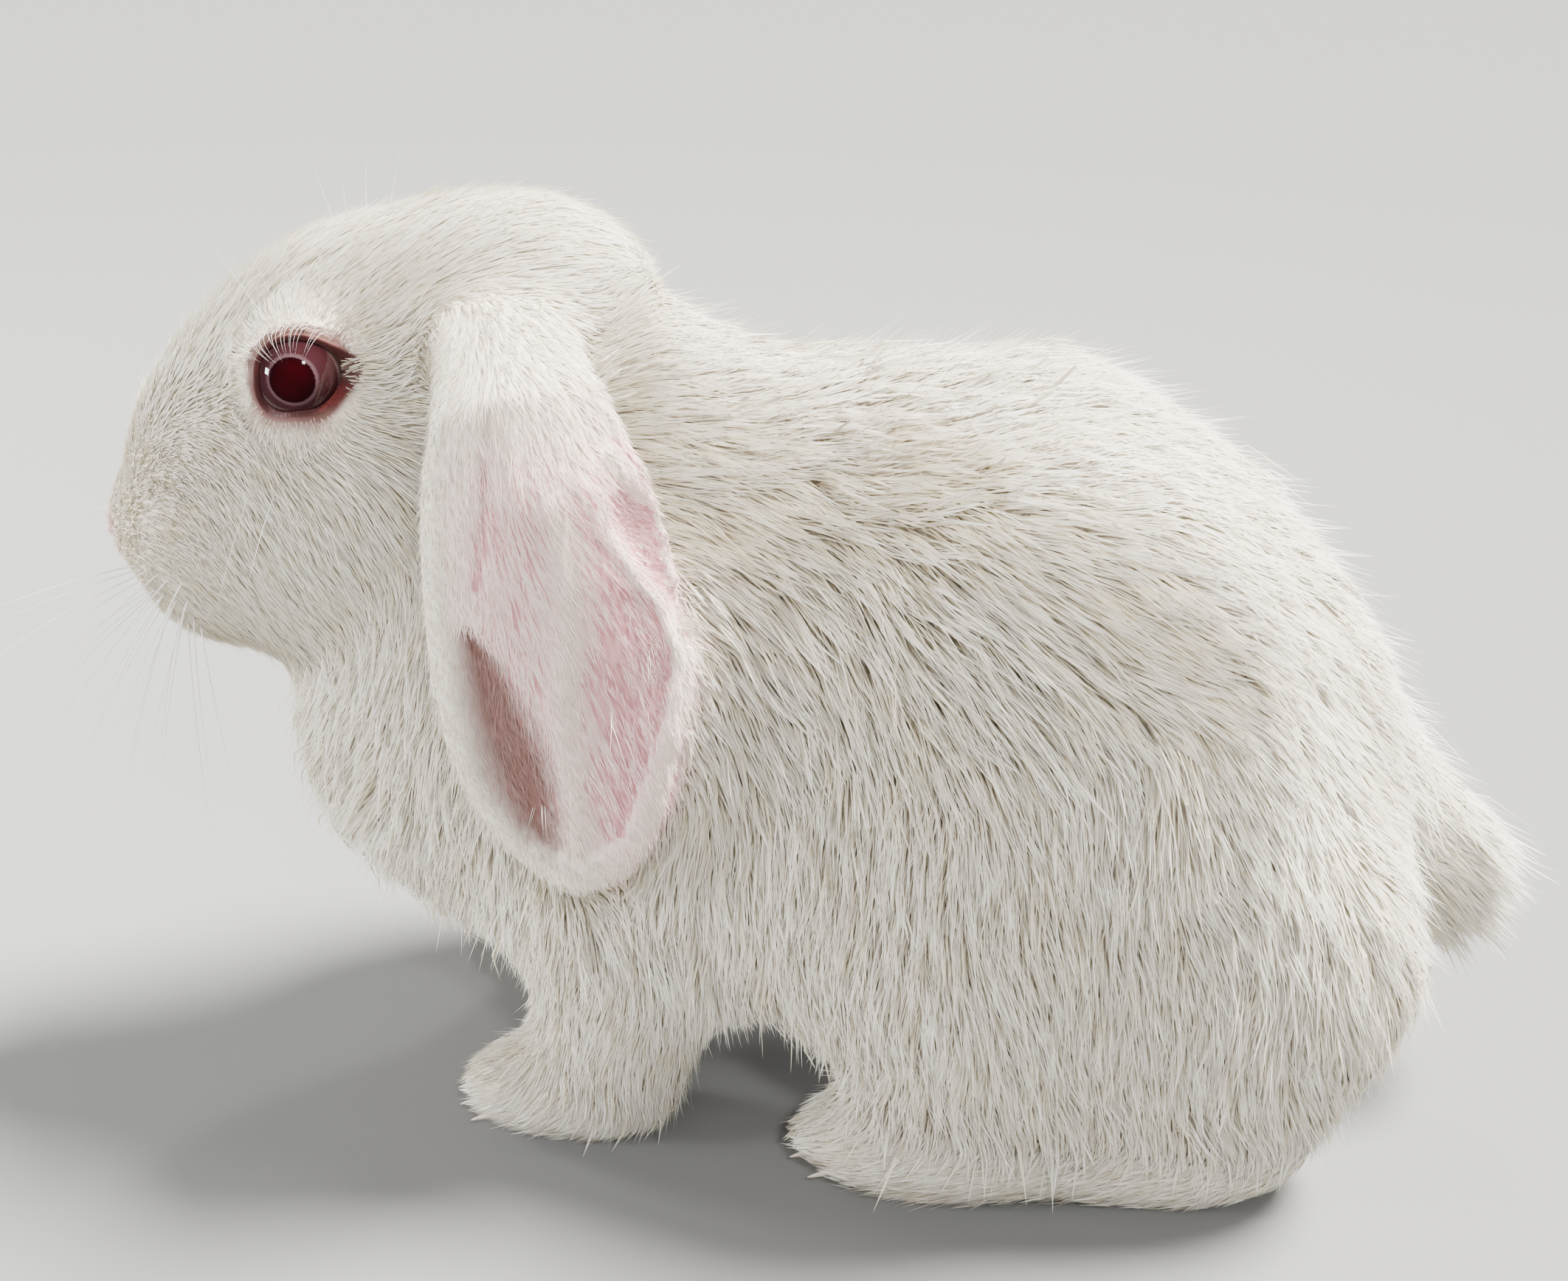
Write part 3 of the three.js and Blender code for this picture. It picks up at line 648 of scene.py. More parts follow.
def finish_named(name, **fixed):
    """A new material, its tree and its Principled shader with these fixed values."""
    made = bpy.data.materials.new(name)
    made.use_nodes = True
    shader = made.node_tree.nodes["Principled BSDF"]
    for socket, value in fixed.items():
        shader.inputs[socket.replace("_", " ")].default_value = value
    return made, made.node_tree, shader


def stored(tree, name, output="Fac"):
    """A stored value of the piece, as a shader's number or place."""
    source = tree.nodes.new("ShaderNodeAttribute")
    source.attribute_name = name
    return source.outputs[output]


def tinted(tree, share, first, second):
    """One colour turning into another."""
    return node(tree, "ShaderNodeMix", share, first, second, data_type="RGBA")


def part_of(tree, share, number):
    """A share made smaller or larger."""
    return node(tree, "ShaderNodeMath", share, number, operation="MULTIPLY")


def scaled(tree, value, scale, start):
    """A value scaled, and counted from this start."""
    return node(tree, "ShaderNodeMath", value, scale, start, operation="MULTIPLY_ADD")


def risen(tree, value, low, high):
    """0 below low, 1 above high, and a smooth rise between them."""
    return node(
        tree, "ShaderNodeMapRange", value, low, high, 0.0, 1.0, interpolation_type="SMOOTHSTEP"
    )


STREAK_SIZE, WISP_SIZE, STREAK_HEIGHT = 1900.0, 900.0, 0.0003
PARTING, MOST_PARTED = 0.62, 0.80
HIDE_PALE = (0.72, 0.61, 0.45, 1)
HIDE_STREAK = (0.93, 0.89, 0.80, 1)
HIDE_PINK = (0.70, 0.37, 0.38, 1)
HIDE_ROSE = (0.50, 0.21, 0.23, 1)
# painted shade of the ears' hollows
HIDE_IN_HOLLOW_SHADE = (0.20, 0.095, 0.083, 1)
LID_PINK = (0.19, 0.098, 0.085, 1)
# the lids' dark margin, also used for the painted shade in the muzzle's slits and creases
LID_RIM_AND_MUZZLE_SHADE = (0.06, 0.010, 0.010, 1)
skin_finish, skin_tree, shader = finish_named("skin", Roughness=0.6, Specular_IOR_Level=0.3)
streak_place = stored(skin_tree, "combed", "Vector")
blush = stored(skin_tree, "blush")
streaks = node(skin_tree, "ShaderNodeTexNoise", streak_place, STREAK_SIZE, 3.0)
wisps = node(skin_tree, "ShaderNodeTexNoise", streak_place, WISP_SIZE, 2.0)
colour = tinted(skin_tree, risen(skin_tree, blush, 0.0, 0.45), HIDE_PALE, HIDE_PINK)
rosy = part_of(skin_tree, risen(skin_tree, streaks, 0.40, 0.62), blush)
colour = tinted(skin_tree, rosy, colour, HIDE_ROSE)
parted = scaled(skin_tree, blush, -PARTING, wisps)
haired = part_of(skin_tree, risen(skin_tree, parted, -0.05, 0.12), part_of(skin_tree, streaks, 1.1))
colour = tinted(skin_tree, haired, colour, HIDE_STREAK)
# painted shade darkens the pink skin in the ears' hollows
hollow_shaded = part_of(skin_tree, stored(skin_tree, "dusk"), scaled(skin_tree, streaks, -0.4, 1.15))
colour = tinted(skin_tree, hollow_shaded, colour, HIDE_IN_HOLLOW_SHADE)
# the lids' own tints, then their dark margins and the painted shade of the muzzle's creases
for name, tone in (("lid", LID_PINK), ("rim", LID_RIM_AND_MUZZLE_SHADE)):
    colour = tinted(skin_tree, stored(skin_tree, name), colour, tone)
skin_tree.links.new(colour, shader.inputs["Base Color"])
relief = node(skin_tree, "ShaderNodeBump", 0.5, STREAK_HEIGHT, 1.0, streaks)
skin_tree.links.new(relief, shader.inputs["Normal"])
hide_mesh.materials.append(skin_finish)

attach(hide, "root")
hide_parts(*FLESH)

# ------------------------------------------------------------------------------------------ Coat
# A lop's coat is dense, soft underfur with fine guard hairs lying over it along the body. Both are
# thin spikes rooted in the hide: the underfur bends over with the lie of the coat, the guard hairs
# lie on it, and the tips of both draw together in small locks and make the outline of the body.

# locks of underfur and guard hairs on each square millimetre, their widths, a gathered lock's size
HEAD_COAT = (0.0, 2.40, 0.00040, 0.00033, 0.0022)
TRUNK_COAT = (0.10, 1.28, 0.00058, 0.00046, 0.0036)
HIND_COAT = (0.08, 1.20, 0.00056, 0.00045, 0.0034)
COAT_PIECES = {
    "coat_head_left": HEAD_COAT,
    "coat_head_right": HEAD_COAT,
    "coat_ears": (0.0, 2.40, 0.00040, 0.00031, 0.0018),
    "coat_neck": (0.12, 1.50, 0.00056, 0.00041, 0.0030),
    "coat_trunk_fore_left": TRUNK_COAT,
    "coat_trunk_fore_right": TRUNK_COAT,
    "coat_trunk_rear_left": TRUNK_COAT,
    "coat_trunk_rear_right": TRUNK_COAT,
    "coat_hind_left": HIND_COAT,
    "coat_hind_right": HIND_COAT,
    "coat_forelegs": (0.08, 1.70, 0.00046, 0.00036, 0.0025),
    "coat_tail": (0.40, 2.60, 0.00058, 0.00041, 0.0036),
}
PER_SQUARE_METRE = 1e6
TUFT_CORNERS = 3
MIDDLE_OF_BODY = 0.005


def piece_of(name, middle):
    """The coat piece that covers a face of this part whose middle is here."""
    side = "left" if middle[1] < 0 else "right"
    if name in ("neck", "tail"):
        return f"coat_{name}"
    if name == "trunk":
        return f"coat_trunk_{'fore' if middle[0] < MIDDLE_OF_BODY else 'rear'}_{side}"
    if name.startswith("ear"):
        return "coat_ears"
    if name.startswith("fore"):
        return "coat_forelegs"
    if name.startswith(("thigh", "hind")):
        return f"coat_hind_{side}"
    return f"coat_head_{side}"


order = list(COAT_PIECES)
middles = read(hide_mesh.polygons, "center", 3)
loop_starts = read(hide_mesh.polygons, "loop_start", 1, np.int32)
first_corner = read(hide_mesh.loops, "vertex_index", 1, np.int32)[loop_starts]
patches = [order.index(piece_of(COVERED[part[v]], middle)) for v, middle in zip(first_corner, middles)]
keep(hide_mesh, "patch", np.array(patches, np.int32), "INT", "FACE")


def growing_tree(name, inputs):
    """A tree with these inputs, the identifier of each of them, and the sockets they come in by."""
    tree = bpy.data.node_groups.new(name, "GeometryNodeTree")
    known_as = {}
    for label, kind in inputs.items():
        socket = tree.interface.new_socket(label, in_out="INPUT", socket_type=f"NodeSocket{kind}")
        known_as[label] = socket.identifier
    tree.interface.new_socket("Grown", in_out="OUTPUT", socket_type="NodeSocketGeometry")
    return tree, known_as, tree.nodes.new("NodeGroupInput").outputs


def grow(piece, tree, known_as, values):
    """Gives a piece the plain mesh that a tree makes of it with these values."""
    growth = piece.modifiers.new(tree.name, "NODES")
    growth.node_group = tree
    for label, value in values.items():
        growth[known_as[label]] = value
    grown = finished_mesh(piece)
    grown.name = piece.name
    piece.modifiers.clear()
    piece.data = grown
    return grown


coat_tree, coat_inputs, given = growing_tree(
    "coat",
    {
        "Hide": "Geometry",
        "Patch": "Int",
        "Locks per area": "Float",
        "Hairs per area": "Float",
        "Lock width": "Float",
        "Hair width": "Float",
        "Gathered size": "Float",
        "Finish": "Material",
    },
)


def add(a, b):
    return node(coat_tree, "ShaderNodeVectorMath", a, b, operation="ADD")


def less(a, b):
    return node(coat_tree, "ShaderNodeVectorMath", a, b, operation="SUBTRACT")


def times(a, number):
    return node(coat_tree, "ShaderNodeVectorMath", a, number, operation="SCALE")


def one_long(a):
    return node(coat_tree, "ShaderNodeVectorMath", a, operation="NORMALIZE")


def across(a, b):
    return node(coat_tree, "ShaderNodeVectorMath", a, b, operation="CROSS_PRODUCT")


def num(operation, *wires):
    return node(coat_tree, "ShaderNodeMath", *wires, operation=operation)


def product(first, *others):
    """All of these numbers multiplied together."""
    for other in others:
        first = num("MULTIPLY", first, other)
    return first


def drawn(low, high, seed):
    """A random number for each tuft."""
    return node(coat_tree, "FunctionNodeRandomValue", low, high, None, seed, data_type="FLOAT")


def known(name, kind="FLOAT_VECTOR"):
    """A value stored on the hide or on a tuft."""
    return node(coat_tree, "GeometryNodeInputNamedAttribute", name, data_type=kind)


def store(geometry, name, value, kind="FLOAT_VECTOR", domain="POINT"):
    """The same geometry with a value stored on it."""
    return node(
        coat_tree, "GeometryNodeStoreNamedAttribute", geometry, None, name, value,
        data_type=kind, domain=domain,
    )


# roots lie on this piece's patch of the hide; those in one cell of it share a turn, a length and a
# height, and lean to its middle
TURN_IN_LOCK, TURN_ALONE, TURN_IN_SWIRL = 0.46, 0.24, 1.2
SWIRL_SIZE, BILLOW_SIZE = 42.0, 95.0
SLEEK_TURNS_LESS, SLEEK_GATHERS_LESS = 0.45, 0.70
own_patch = node(
    coat_tree, "FunctionNodeCompare", known("patch", "INT"), given["Patch"],
    data_type="INT", operation="EQUAL",
)
patch_hide = node(coat_tree, "GeometryNodeSeparateGeometry", given["Hide"], own_patch, domain="FACE")
root = node(coat_tree, "GeometryNodeInputPosition")
upward = one_long(known("upward"))
lie_here = one_long(known("lie"))
beside = one_long(across(lie_here, upward))
cells = coat_tree.nodes.new("ShaderNodeTexVoronoi")
coat_tree.links.new(root, cells.inputs["Vector"])
coat_tree.links.new(num("DIVIDE", 1.0, given["Gathered size"]), cells.inputs["Scale"])
lock_turn, lock_length, lock_height = node(
    coat_tree, "ShaderNodeSeparateXYZ", cells.outputs["Color"]
).node.outputs
swirl = node(coat_tree, "ShaderNodeTexNoise", root, SWIRL_SIZE, 1.0)
billow = node(coat_tree, "ShaderNodeTexNoise", root, BILLOW_SIZE, 1.0)
shared_turn = product(num("SUBTRACT", lock_turn, 0.5), TURN_IN_LOCK)
shared_turn = num("ADD", shared_turn, product(num("SUBTRACT", swirl, 0.5), TURN_IN_SWIRL))
turns = num("MULTIPLY_ADD", known("sleek", "FLOAT"), -SLEEK_TURNS_LESS, 1.0)
shared_turn = product(shared_turn, turns)
gathers = num("MULTIPLY_ADD", known("sleek", "FLOAT"), -SLEEK_GATHERS_LESS, 1.0)
gather = less(cells.outputs["Position"], root)
wisp = node(coat_tree, "ShaderNodeTexNoise", known("combed"), WISP_SIZE, 2.0)
parting = product(num("MINIMUM", known("blush", "FLOAT"), MOST_PARTED), PARTING)
in_parting = num("LESS_THAN", wisp, parting)
ROOT_SINK = 0.0006
TUFT_THICKNESS = 0.45
FLOOR_GAP = 0.0002
PATCH_SIZE = 0.0015


def layer(per_area, width, steps, foot, reach, lift, gathering, strays, seed):
    """One layer of the coat: spikes of so many steps, from foot to lift shares of its depth."""
    density = product(per_area, known("fullness", "FLOAT"))
    tufts = node(coat_tree, "GeometryNodeDistributePointsOnFaces", patch_hide, None, density, seed)
    tufts = node(coat_tree, "GeometryNodeDeleteGeometry", tufts, in_parting)
    turn = num("ADD", shared_turn, drawn(-TURN_ALONE / 2, TURN_ALONE / 2, seed + 1))
    heading = add(times(lie_here, num("COSINE", turn)), times(beside, num("SINE", turn)))
    stray = num("LESS_THAN", drawn(0.0, 1.0, seed + 2), strays)
    length = product(
        known("hair", "FLOAT"), reach, drawn(0.70, 1.15, seed + 3),
        num("MULTIPLY_ADD", lock_length, 0.30, 0.85), num("MULTIPLY_ADD", stray, 0.25, 1.0),
    )
    height = product(
        known("depth", "FLOAT"), lift, drawn(0.72, 1.04, seed + 4),
        num("MULTIPLY_ADD", lock_height, 0.50, 0.68), num("MULTIPLY_ADD", billow, 0.5, 0.75),
        num("MULTIPLY_ADD", stray, 0.80, 1.0),
    )
    rooted = num("MULTIPLY_ADD", known("depth", "FLOAT"), foot, -ROOT_SINK)
    start = add(root, times(upward, rooted))
    lean = times(gather, product(gathers, gathering))

    def laid_over(share, height_share):
        """The place a share of the way along a tuft, held over the hide below it."""
        free = add(add(root, times(heading, num("MULTIPLY", length, share))), times(lean, share))
        below = node(
            coat_tree, "GeometryNodeProximity", given["Hide"], None, free, target_element="FACES"
        )
        out = node(
            coat_tree, "GeometryNodeSampleNearestSurface", given["Hide"], known("upward"), None, free,
            data_type="FLOAT_VECTOR",
        )
        high = num("MULTIPLY", height, height_share)
        held = add(below, times(one_long(out), high))
        loose = add(free, times(upward, high))
        follows = known("follow", "FLOAT")
        return node(coat_tree, "ShaderNodeMix", follows, loose, held, data_type="VECTOR")

    middle, tip = laid_over(0.45, 0.78), laid_over(1.0, 1.0)
    tufts = store(tufts, "tip", tip)
    tufts = store(tufts, "middle", middle)
    tufts = store(tufts, "root", start)
    tufts = store(tufts, "beside", one_long(across(heading, upward)))
    tufts = store(tufts, "wide", num("MULTIPLY", width, drawn(0.60, 1.25, seed + 5)), "FLOAT")
    own_shade = num("MULTIPLY_ADD", drawn(0.0, 1.0, seed + 6), 0.5, product(lock_turn, 0.5))
    tufts = store(tufts, "shade", own_shade, "FLOAT")
    tufts = store(tufts, "root_map", known("OFBake"))
    spike = node(
        coat_tree, "GeometryNodeMeshCone", TUFT_CORNERS, steps, 1, 0.0, 1.0, 1.0, fill_type="NGON"
    )
    spike = store(spike, "local", node(coat_tree, "GeometryNodeInputPosition"))
    tufts = node(coat_tree, "GeometryNodeInstanceOnPoints", tufts, None, spike)
    tufts = node(coat_tree, "GeometryNodeRealizeInstances", tufts)
    local = node(coat_tree, "ShaderNodeSeparateXYZ", known("local")).node.outputs
    share = local[2]
    rest = num("SUBTRACT", 1.0, share)
    bend = less(times(known("middle"), 2.0), times(add(known("root"), known("tip")), 0.5))
    course = add(times(known("root"), product(rest, rest)), times(known("tip"), product(share, share)))
    course = add(course, times(bend, product(share, rest, 2.0)))
    wide = product(known("wide", "FLOAT"), num("MULTIPLY_ADD", share, 2.0, 0.7))
    course = add(course, times(known("beside"), product(local[0], wide)))
    # the spike is turned over here, because its width, lie and height make a left-handed frame
    thick = product(local[1], wide, -TUFT_THICKNESS)
    course = add(course, times(known("upward"), thick))
    tufts = node(coat_tree, "GeometryNodeSetPosition", tufts, None, course)
    tufts = store(tufts, "across", local[0], "FLOAT")
    return store(tufts, "along", num("MULTIPLY_ADD", share, 1.0 - foot, foot), "FLOAT")


underfur = layer(given["Locks per area"], given["Lock width"], 2, 0.0, 1.0, 0.92, 0.55, 0.02, 10)
guard_hairs = layer(given["Hairs per area"], given["Hair width"], 1, 0.34, 0.68, 1.0, 0.55, 0.06, 30)
joined_layers = coat_tree.nodes.new("GeometryNodeJoinGeometry")
coat_tree.links.new(guard_hairs, joined_layers.inputs[0])
coat_tree.links.new(underfur, joined_layers.inputs[0])
tufts = joined_layers.outputs[0]
spot = node(coat_tree, "GeometryNodeInputPosition")
spot = node(coat_tree, "ShaderNodeSeparateXYZ", spot).node.outputs
off_floor = num("MAXIMUM", spot[2], FLOOR_GAP)
clear = node(coat_tree, "ShaderNodeCombineXYZ", spot[0], spot[1], off_floor)
tufts = node(coat_tree, "GeometryNodeSetPosition", tufts, None, clear)
map_place = add(known("root_map"), times(known("local"), PATCH_SIZE))
tufts = store(tufts, "OFBake", map_place, "FLOAT2", "CORNER")
flatness = num("MULTIPLY_ADD", known("sleek", "FLOAT"), 1.3, 0.5)
softened = one_long(add(times(known("upward"), flatness), node(coat_tree, "GeometryNodeInputNormal")))
tufts = node(coat_tree, "GeometryNodeSetMeshNormal", tufts, softened, mode="FREE", domain="POINT")
WORKED_WITH = (
    "tip", "middle", "root", "beside", "wide", "local", "root_map", "lie", "hair", "depth", "fullness",
    "upward", "rim", "follow", "patch", "sleek", "combed",
)
for name in WORKED_WITH:
    tufts = node(coat_tree, "GeometryNodeRemoveAttribute", tufts, name)
tufts = node(coat_tree, "GeometryNodeSetMaterial", tufts, None, given["Finish"])
coat_tree.links.new(tufts, coat_tree.nodes.new("NodeGroupOutput").inputs[0])

HAIRS_IN_TUFT = 12.5
# painted shade: each hair darkens from its tip to its root, for the shade deep in the coat, over the
# hair's own cream
HAIR_ROOT_SHADE = (0.40, 0.32, 0.20, 1)
HAIR_TIP = (0.97, 0.95, 0.88, 1)
HAIR_WARM = (0.70, 0.61, 0.43, 1)
HAIR_OVER_PINK = (0.90, 0.64, 0.66, 1)
# painted shade on the hair in the ears' hollows
HAIR_IN_HOLLOW_SHADE = (0.26, 0.135, 0.115, 1)
HAIR_BY_LIDS = (0.42, 0.27, 0.23, 1)
fur_finish, fur_tree, shader = finish_named("fur", Roughness=0.6, Specular_IOR_Level=0.25)
shade = stored(fur_tree, "shade")
# stripes across each tuft draw fine hairs, with painted shade in the gaps between them
stripes = scaled(fur_tree, stored(fur_tree, "across"), HAIRS_IN_TUFT, part_of(fur_tree, shade, 40.0))
hairs = node(fur_tree, "ShaderNodeMath", stripes, operation="SINE")
hairs = scaled(fur_tree, hairs, 0.20, 0.80)
# painted shade: the colour runs from the shaded root tone to the tip's white along each hair
whiter = part_of(fur_tree, risen(fur_tree, stored(fur_tree, "along"), 0.1, 0.85), hairs)
colour = tinted(fur_tree, whiter, HAIR_ROOT_SHADE, HAIR_TIP)
warm = part_of(fur_tree, risen(fur_tree, shade, 0.35, 0.85), 0.62)
colour = tinted(fur_tree, warm, colour, HAIR_WARM)
# hair takes the pink of the skin and the tint by the lids, and painted shade in the ears' hollows
for name, most, tone in (
    ("blush", 0.95, HAIR_OVER_PINK), ("dusk", 0.95, HAIR_IN_HOLLOW_SHADE), ("lid", 0.85, HAIR_BY_LIDS)
):
    colour = tinted(fur_tree, part_of(fur_tree, stored(fur_tree, name), most), colour, tone)
fur_tree.links.new(colour, shader.inputs["Base Color"])

for index, (name, sizes) in enumerate(COAT_PIECES.items()):
    locks, hairs, lock_width, hair_width, gathered = sizes
    coat_piece = place(name, hide_mesh)
    growth = {
        "Patch": index,
        "Locks per area": locks * PER_SQUARE_METRE,
        "Hairs per area": hairs * PER_SQUARE_METRE,
        "Lock width": lock_width,
        "Hair width": hair_width,
        "Gathered size": gathered,
        "Finish": fur_finish,
    }
    grow(coat_piece, coat_tree, coat_inputs, growth)
    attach(coat_piece, "root")

# ------------------------------------------------------------------------------------------ Eyes
# Each eye is a wet, bulging ball: a wide dark pupil in a ring of pale fibres, then the mauve iris
# of a rabbit with no dark pigment. The ball is glossy all over and sits behind the lids.

LOOK = np.array([0.045, 0.991, 0.128])
BALL_SEGMENTS, BALL_RINGS = 64, 48
UNIT_ON_MAP = 100
RINGS = (
    (0.00, (0.030, 0.0006, 0.0020, 1)),
    (0.20, (0.019, 0.0004, 0.0015, 1)),
    (0.288, (0.009, 0.0003, 0.0012, 1)),
    (0.302, (0.095, 0.050, 0.058, 1)),
    (0.326, (0.080, 0.042, 0.048, 1)),
    (0.350, (0.034, 0.0105, 0.013, 1)),
    (0.46, (0.026, 0.0070, 0.009, 1)),
    (0.575, (0.014, 0.0030, 0.004, 1)),
    (0.62, (0.060, 0.036, 0.034, 1)),
    (0.72, (0.050, 0.028, 0.026, 1)),
)
eye_finish, eye_tree, shader = finish_named("eye", Roughness=0.05, IOR=1.376)
source = eye_tree.nodes.new("ShaderNodeUVMap")
source.uv_map = "iris"
out = node(eye_tree, "ShaderNodeVectorMath", source.outputs[0], operation="LENGTH")
fibres = node(eye_tree, "ShaderNodeTexNoise", source.outputs[0], 38.0, 4.0)
out = scaled(eye_tree, fibres, 0.03, out)
rings = eye_tree.nodes.new("ShaderNodeValToRGB")
eye_tree.links.new(out, rings.inputs[0])
ramp = rings.color_ramp
ramp.elements[0].position, ramp.elements[0].color = RINGS[0]
ramp.elements[1].position, ramp.elements[1].color = RINGS[-1]
for spot, tone in RINGS[1:-1]:
    ramp.elements.new(spot).color = tone
eye_tree.links.new(rings.outputs[0], shader.inputs["Base Color"])

for side, sign in SIDES.items():
    facing = Vector(unit(LOOK * (1, sign, 1)))
    ball = bmesh.new()
    bmesh.ops.create_uvsphere(
        ball, u_segments=BALL_SEGMENTS, v_segments=BALL_RINGS, radius=eye_radius
    )
    turn_ball = facing.to_track_quat("Z", "Y").to_matrix().to_4x4()
    to_place = Matrix.Translation(eye_centres[side]) @ turn_ball
    iris_map = ball.loops.layers.uv.new("iris")
    for face in ball.faces:
        face.smooth = True
        for loop in face.loops:
            spot = loop.vert.co / eye_radius
            polar = math.acos(max(-1, min(1, spot.z)))
            flat = Vector((spot.x, spot.y))
            flat = flat.normalized() if abs(spot.z) < 0.9999 else Vector((0, 0))
            loop[iris_map].uv = flat * math.degrees(polar) / UNIT_ON_MAP
    bmesh.ops.transform(ball, matrix=to_place, verts=ball.verts)
    ball_mesh = bpy.data.meshes.new(f"eyeball_{side}")
    ball.to_mesh(ball_mesh)
    ball.free()
    eyeball = place(f"eyeball_{side}", ball_mesh)
    ball_mesh.materials.append(eye_finish)
    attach(eyeball, "root")
    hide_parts(f"eye_{side}")

# ------------------------------------------------------------------------------------- Whiskers
# Stiff white hairs, thick at the root and drawn out to nothing: rows of them on the pads of the
# lip, a few over each eye and on the cheek, and fine lashes that hang over the upper lids.

WHISKER_STEPS, WHISKER_SIDES = 9, 5
WHISKER_RADIUS, BROW_RADIUS, LASH_RADIUS = 0.00018, 0.0001, 0.000045
PAD_ROWS, PAD_COLUMNS = 4, 6
BROW_HAIRS, CHEEK_HAIRS = 4, 2
PAD_FRONT, PAD_TOP, PAD_ASIDE = -0.1570, 0.1275, 0.020
PAD_COLUMN_GAP, PAD_ROW_GAP = 0.0034, 0.0040
LASHES = 18
LASH_BEARINGS = (28, 122)
FRONT_LIMIT, FLOOR_LIMIT = -0.1815, 0.004
chance = np.random.default_rng(7)
courses = []


def grow_whisker(target, way, length, radius=WHISKER_RADIUS):
    """A whisker from the hide nearest to the target, drooping a little, kept off the floor."""
    start = points[np.argmin(np.linalg.norm(points - target, axis=1))]
    way = unit(np.array(way))
    if way[0] < 0:
        length = min(length, (start[0] - FRONT_LIMIT) / -way[0])
    if way[2] < 0:
        length = min(length, (start[2] - FLOOR_LIMIT) / -way[2])
    share = np.linspace(-0.04, 1, WHISKER_STEPS)[:, None]
    droop = np.array([0.05, 0, -0.08]) * length
    courses.append((start + way * length * share + droop * share**2 * (share > 0), radius))


for side, sign in SIDES.items():
    for row in range(PAD_ROWS):
        for column in range(PAD_COLUMNS):
            backwards, downwards = PAD_COLUMN_GAP * column, PAD_ROW_GAP * row
            target = (PAD_FRONT + backwards, sign * PAD_ASIDE, PAD_TOP - downwards)
            fall = math.radians(6 + 14 * row + 11 * column + chance.uniform(-6, 6))
            way = (-math.cos(fall), sign * chance.uniform(0.22, 0.42), -math.sin(fall))
            grow_whisker(np.array(target), way, chance.uniform(0.028, 0.046))
    eye = eye_centres[side]
    for n in range(BROW_HAIRS):
        target = eye + (-0.006 + 0.0035 * n, sign * 0.002, 0.0135)
        way = (-0.40 + 0.16 * n, sign * 0.30, 0.90)
        grow_whisker(target, way, chance.uniform(0.018, 0.026), BROW_RADIUS)
    for n in range(CHEEK_HAIRS):
        target = eye + (-0.010 + 0.006 * n, sign * 0.003, -0.022)
        way = (-0.25, sign * 0.55, -0.75)
        grow_whisker(target, way, chance.uniform(0.018, 0.024), BROW_RADIUS)
    facing, ahead, above = eye_axes(side)
    for n in range(LASHES):
        bearing = math.radians(np.interp(n, (0, LASHES - 1), LASH_BEARINGS) + chance.uniform(-4, 4))
        share = np.linspace(0, 1, WHISKER_STEPS)
        wide = opening_at(bearing) + math.radians(15) - share * math.radians(chance.uniform(26, 44))
        bearings = bearing - share * math.radians(chance.uniform(4, 18))
        out = eye_radius + 0.0012 + 0.0014 * np.sin(share * math.pi) + 0.0004 * share
        spokes = np.outer(np.cos(wide), facing) + np.sin(wide)[:, None] * (
            np.outer(np.cos(bearings), ahead) + np.outer(np.sin(bearings), above)
        )
        courses.append((eye + spokes * out[:, None], LASH_RADIUS))

line_mesh = bpy.data.meshes.new("whiskers")
line_points = np.concatenate([course for course, _ in courses])
links = [(n, n + 1) for n in range(len(line_points) - 1) if (n + 1) % WHISKER_STEPS]
line_mesh.from_pydata(line_points.tolist(), links, [])
taper = 1 - 0.92 * np.linspace(0, 1, WHISKER_STEPS)
keep(line_mesh, "thick", np.concatenate([taper * radius for _, radius in courses]), "FLOAT")

whisker_tree, whisker_inputs, lines_in = growing_tree(
    "whisker", {"Lines": "Geometry", "Sides": "Int", "Finish": "Material"}
)
thick = node(whisker_tree, "GeometryNodeInputNamedAttribute", "thick", data_type="FLOAT")
section = node(whisker_tree, "GeometryNodeCurvePrimitiveCircle", lines_in["Sides"])
section.node.inputs["Radius"].default_value = 1.0
course = node(whisker_tree, "GeometryNodeMeshToCurve", lines_in["Lines"])
solid = node(whisker_tree, "GeometryNodeCurveToMesh", course, section, thick, True)
solid = node(whisker_tree, "GeometryNodeSetShadeSmooth", solid)
solid = node(whisker_tree, "GeometryNodeRealizeInstances", solid)
solid = node(whisker_tree, "GeometryNodeSetMaterial", solid, None, lines_in["Finish"])
whisker_tree.links.new(solid, whisker_tree.nodes.new("NodeGroupOutput").inputs[0])

whisker_finish, _, shader = finish_named("whisker", Roughness=0.35)
shader.inputs["Base Color"].default_value = (0.93, 0.91, 0.87, 1)
whiskers = place("whiskers", line_mesh)
growth = {"Sides": WHISKER_SIDES, "Finish": whisker_finish}
grown = grow(whiskers, whisker_tree, whisker_inputs, growth)
corner_points = read(hide_mesh.loops, "vertex_index", 1, np.int32)
on_map = np.zeros((len(points), 2))
on_map[corner_points] = read(hide_mesh.uv_layers["OFBake"].uv, "vector", 2)
starts = [course[0] for course, _ in courses]
root_maps = on_map[[np.argmin(np.linalg.norm(points - start, axis=1)) for start in starts]]
corner_points = read(grown.loops, "vertex_index", 1, np.int32)
whisker_of, spot = np.divmod(corner_points, WHISKER_STEPS * WHISKER_SIDES)
ring, corner = np.divmod(spot, WHISKER_SIDES)
in_patch = np.stack([ring / WHISKER_STEPS - 0.5, corner / WHISKER_SIDES - 0.5], 1) * 2 * PATCH_SIZE
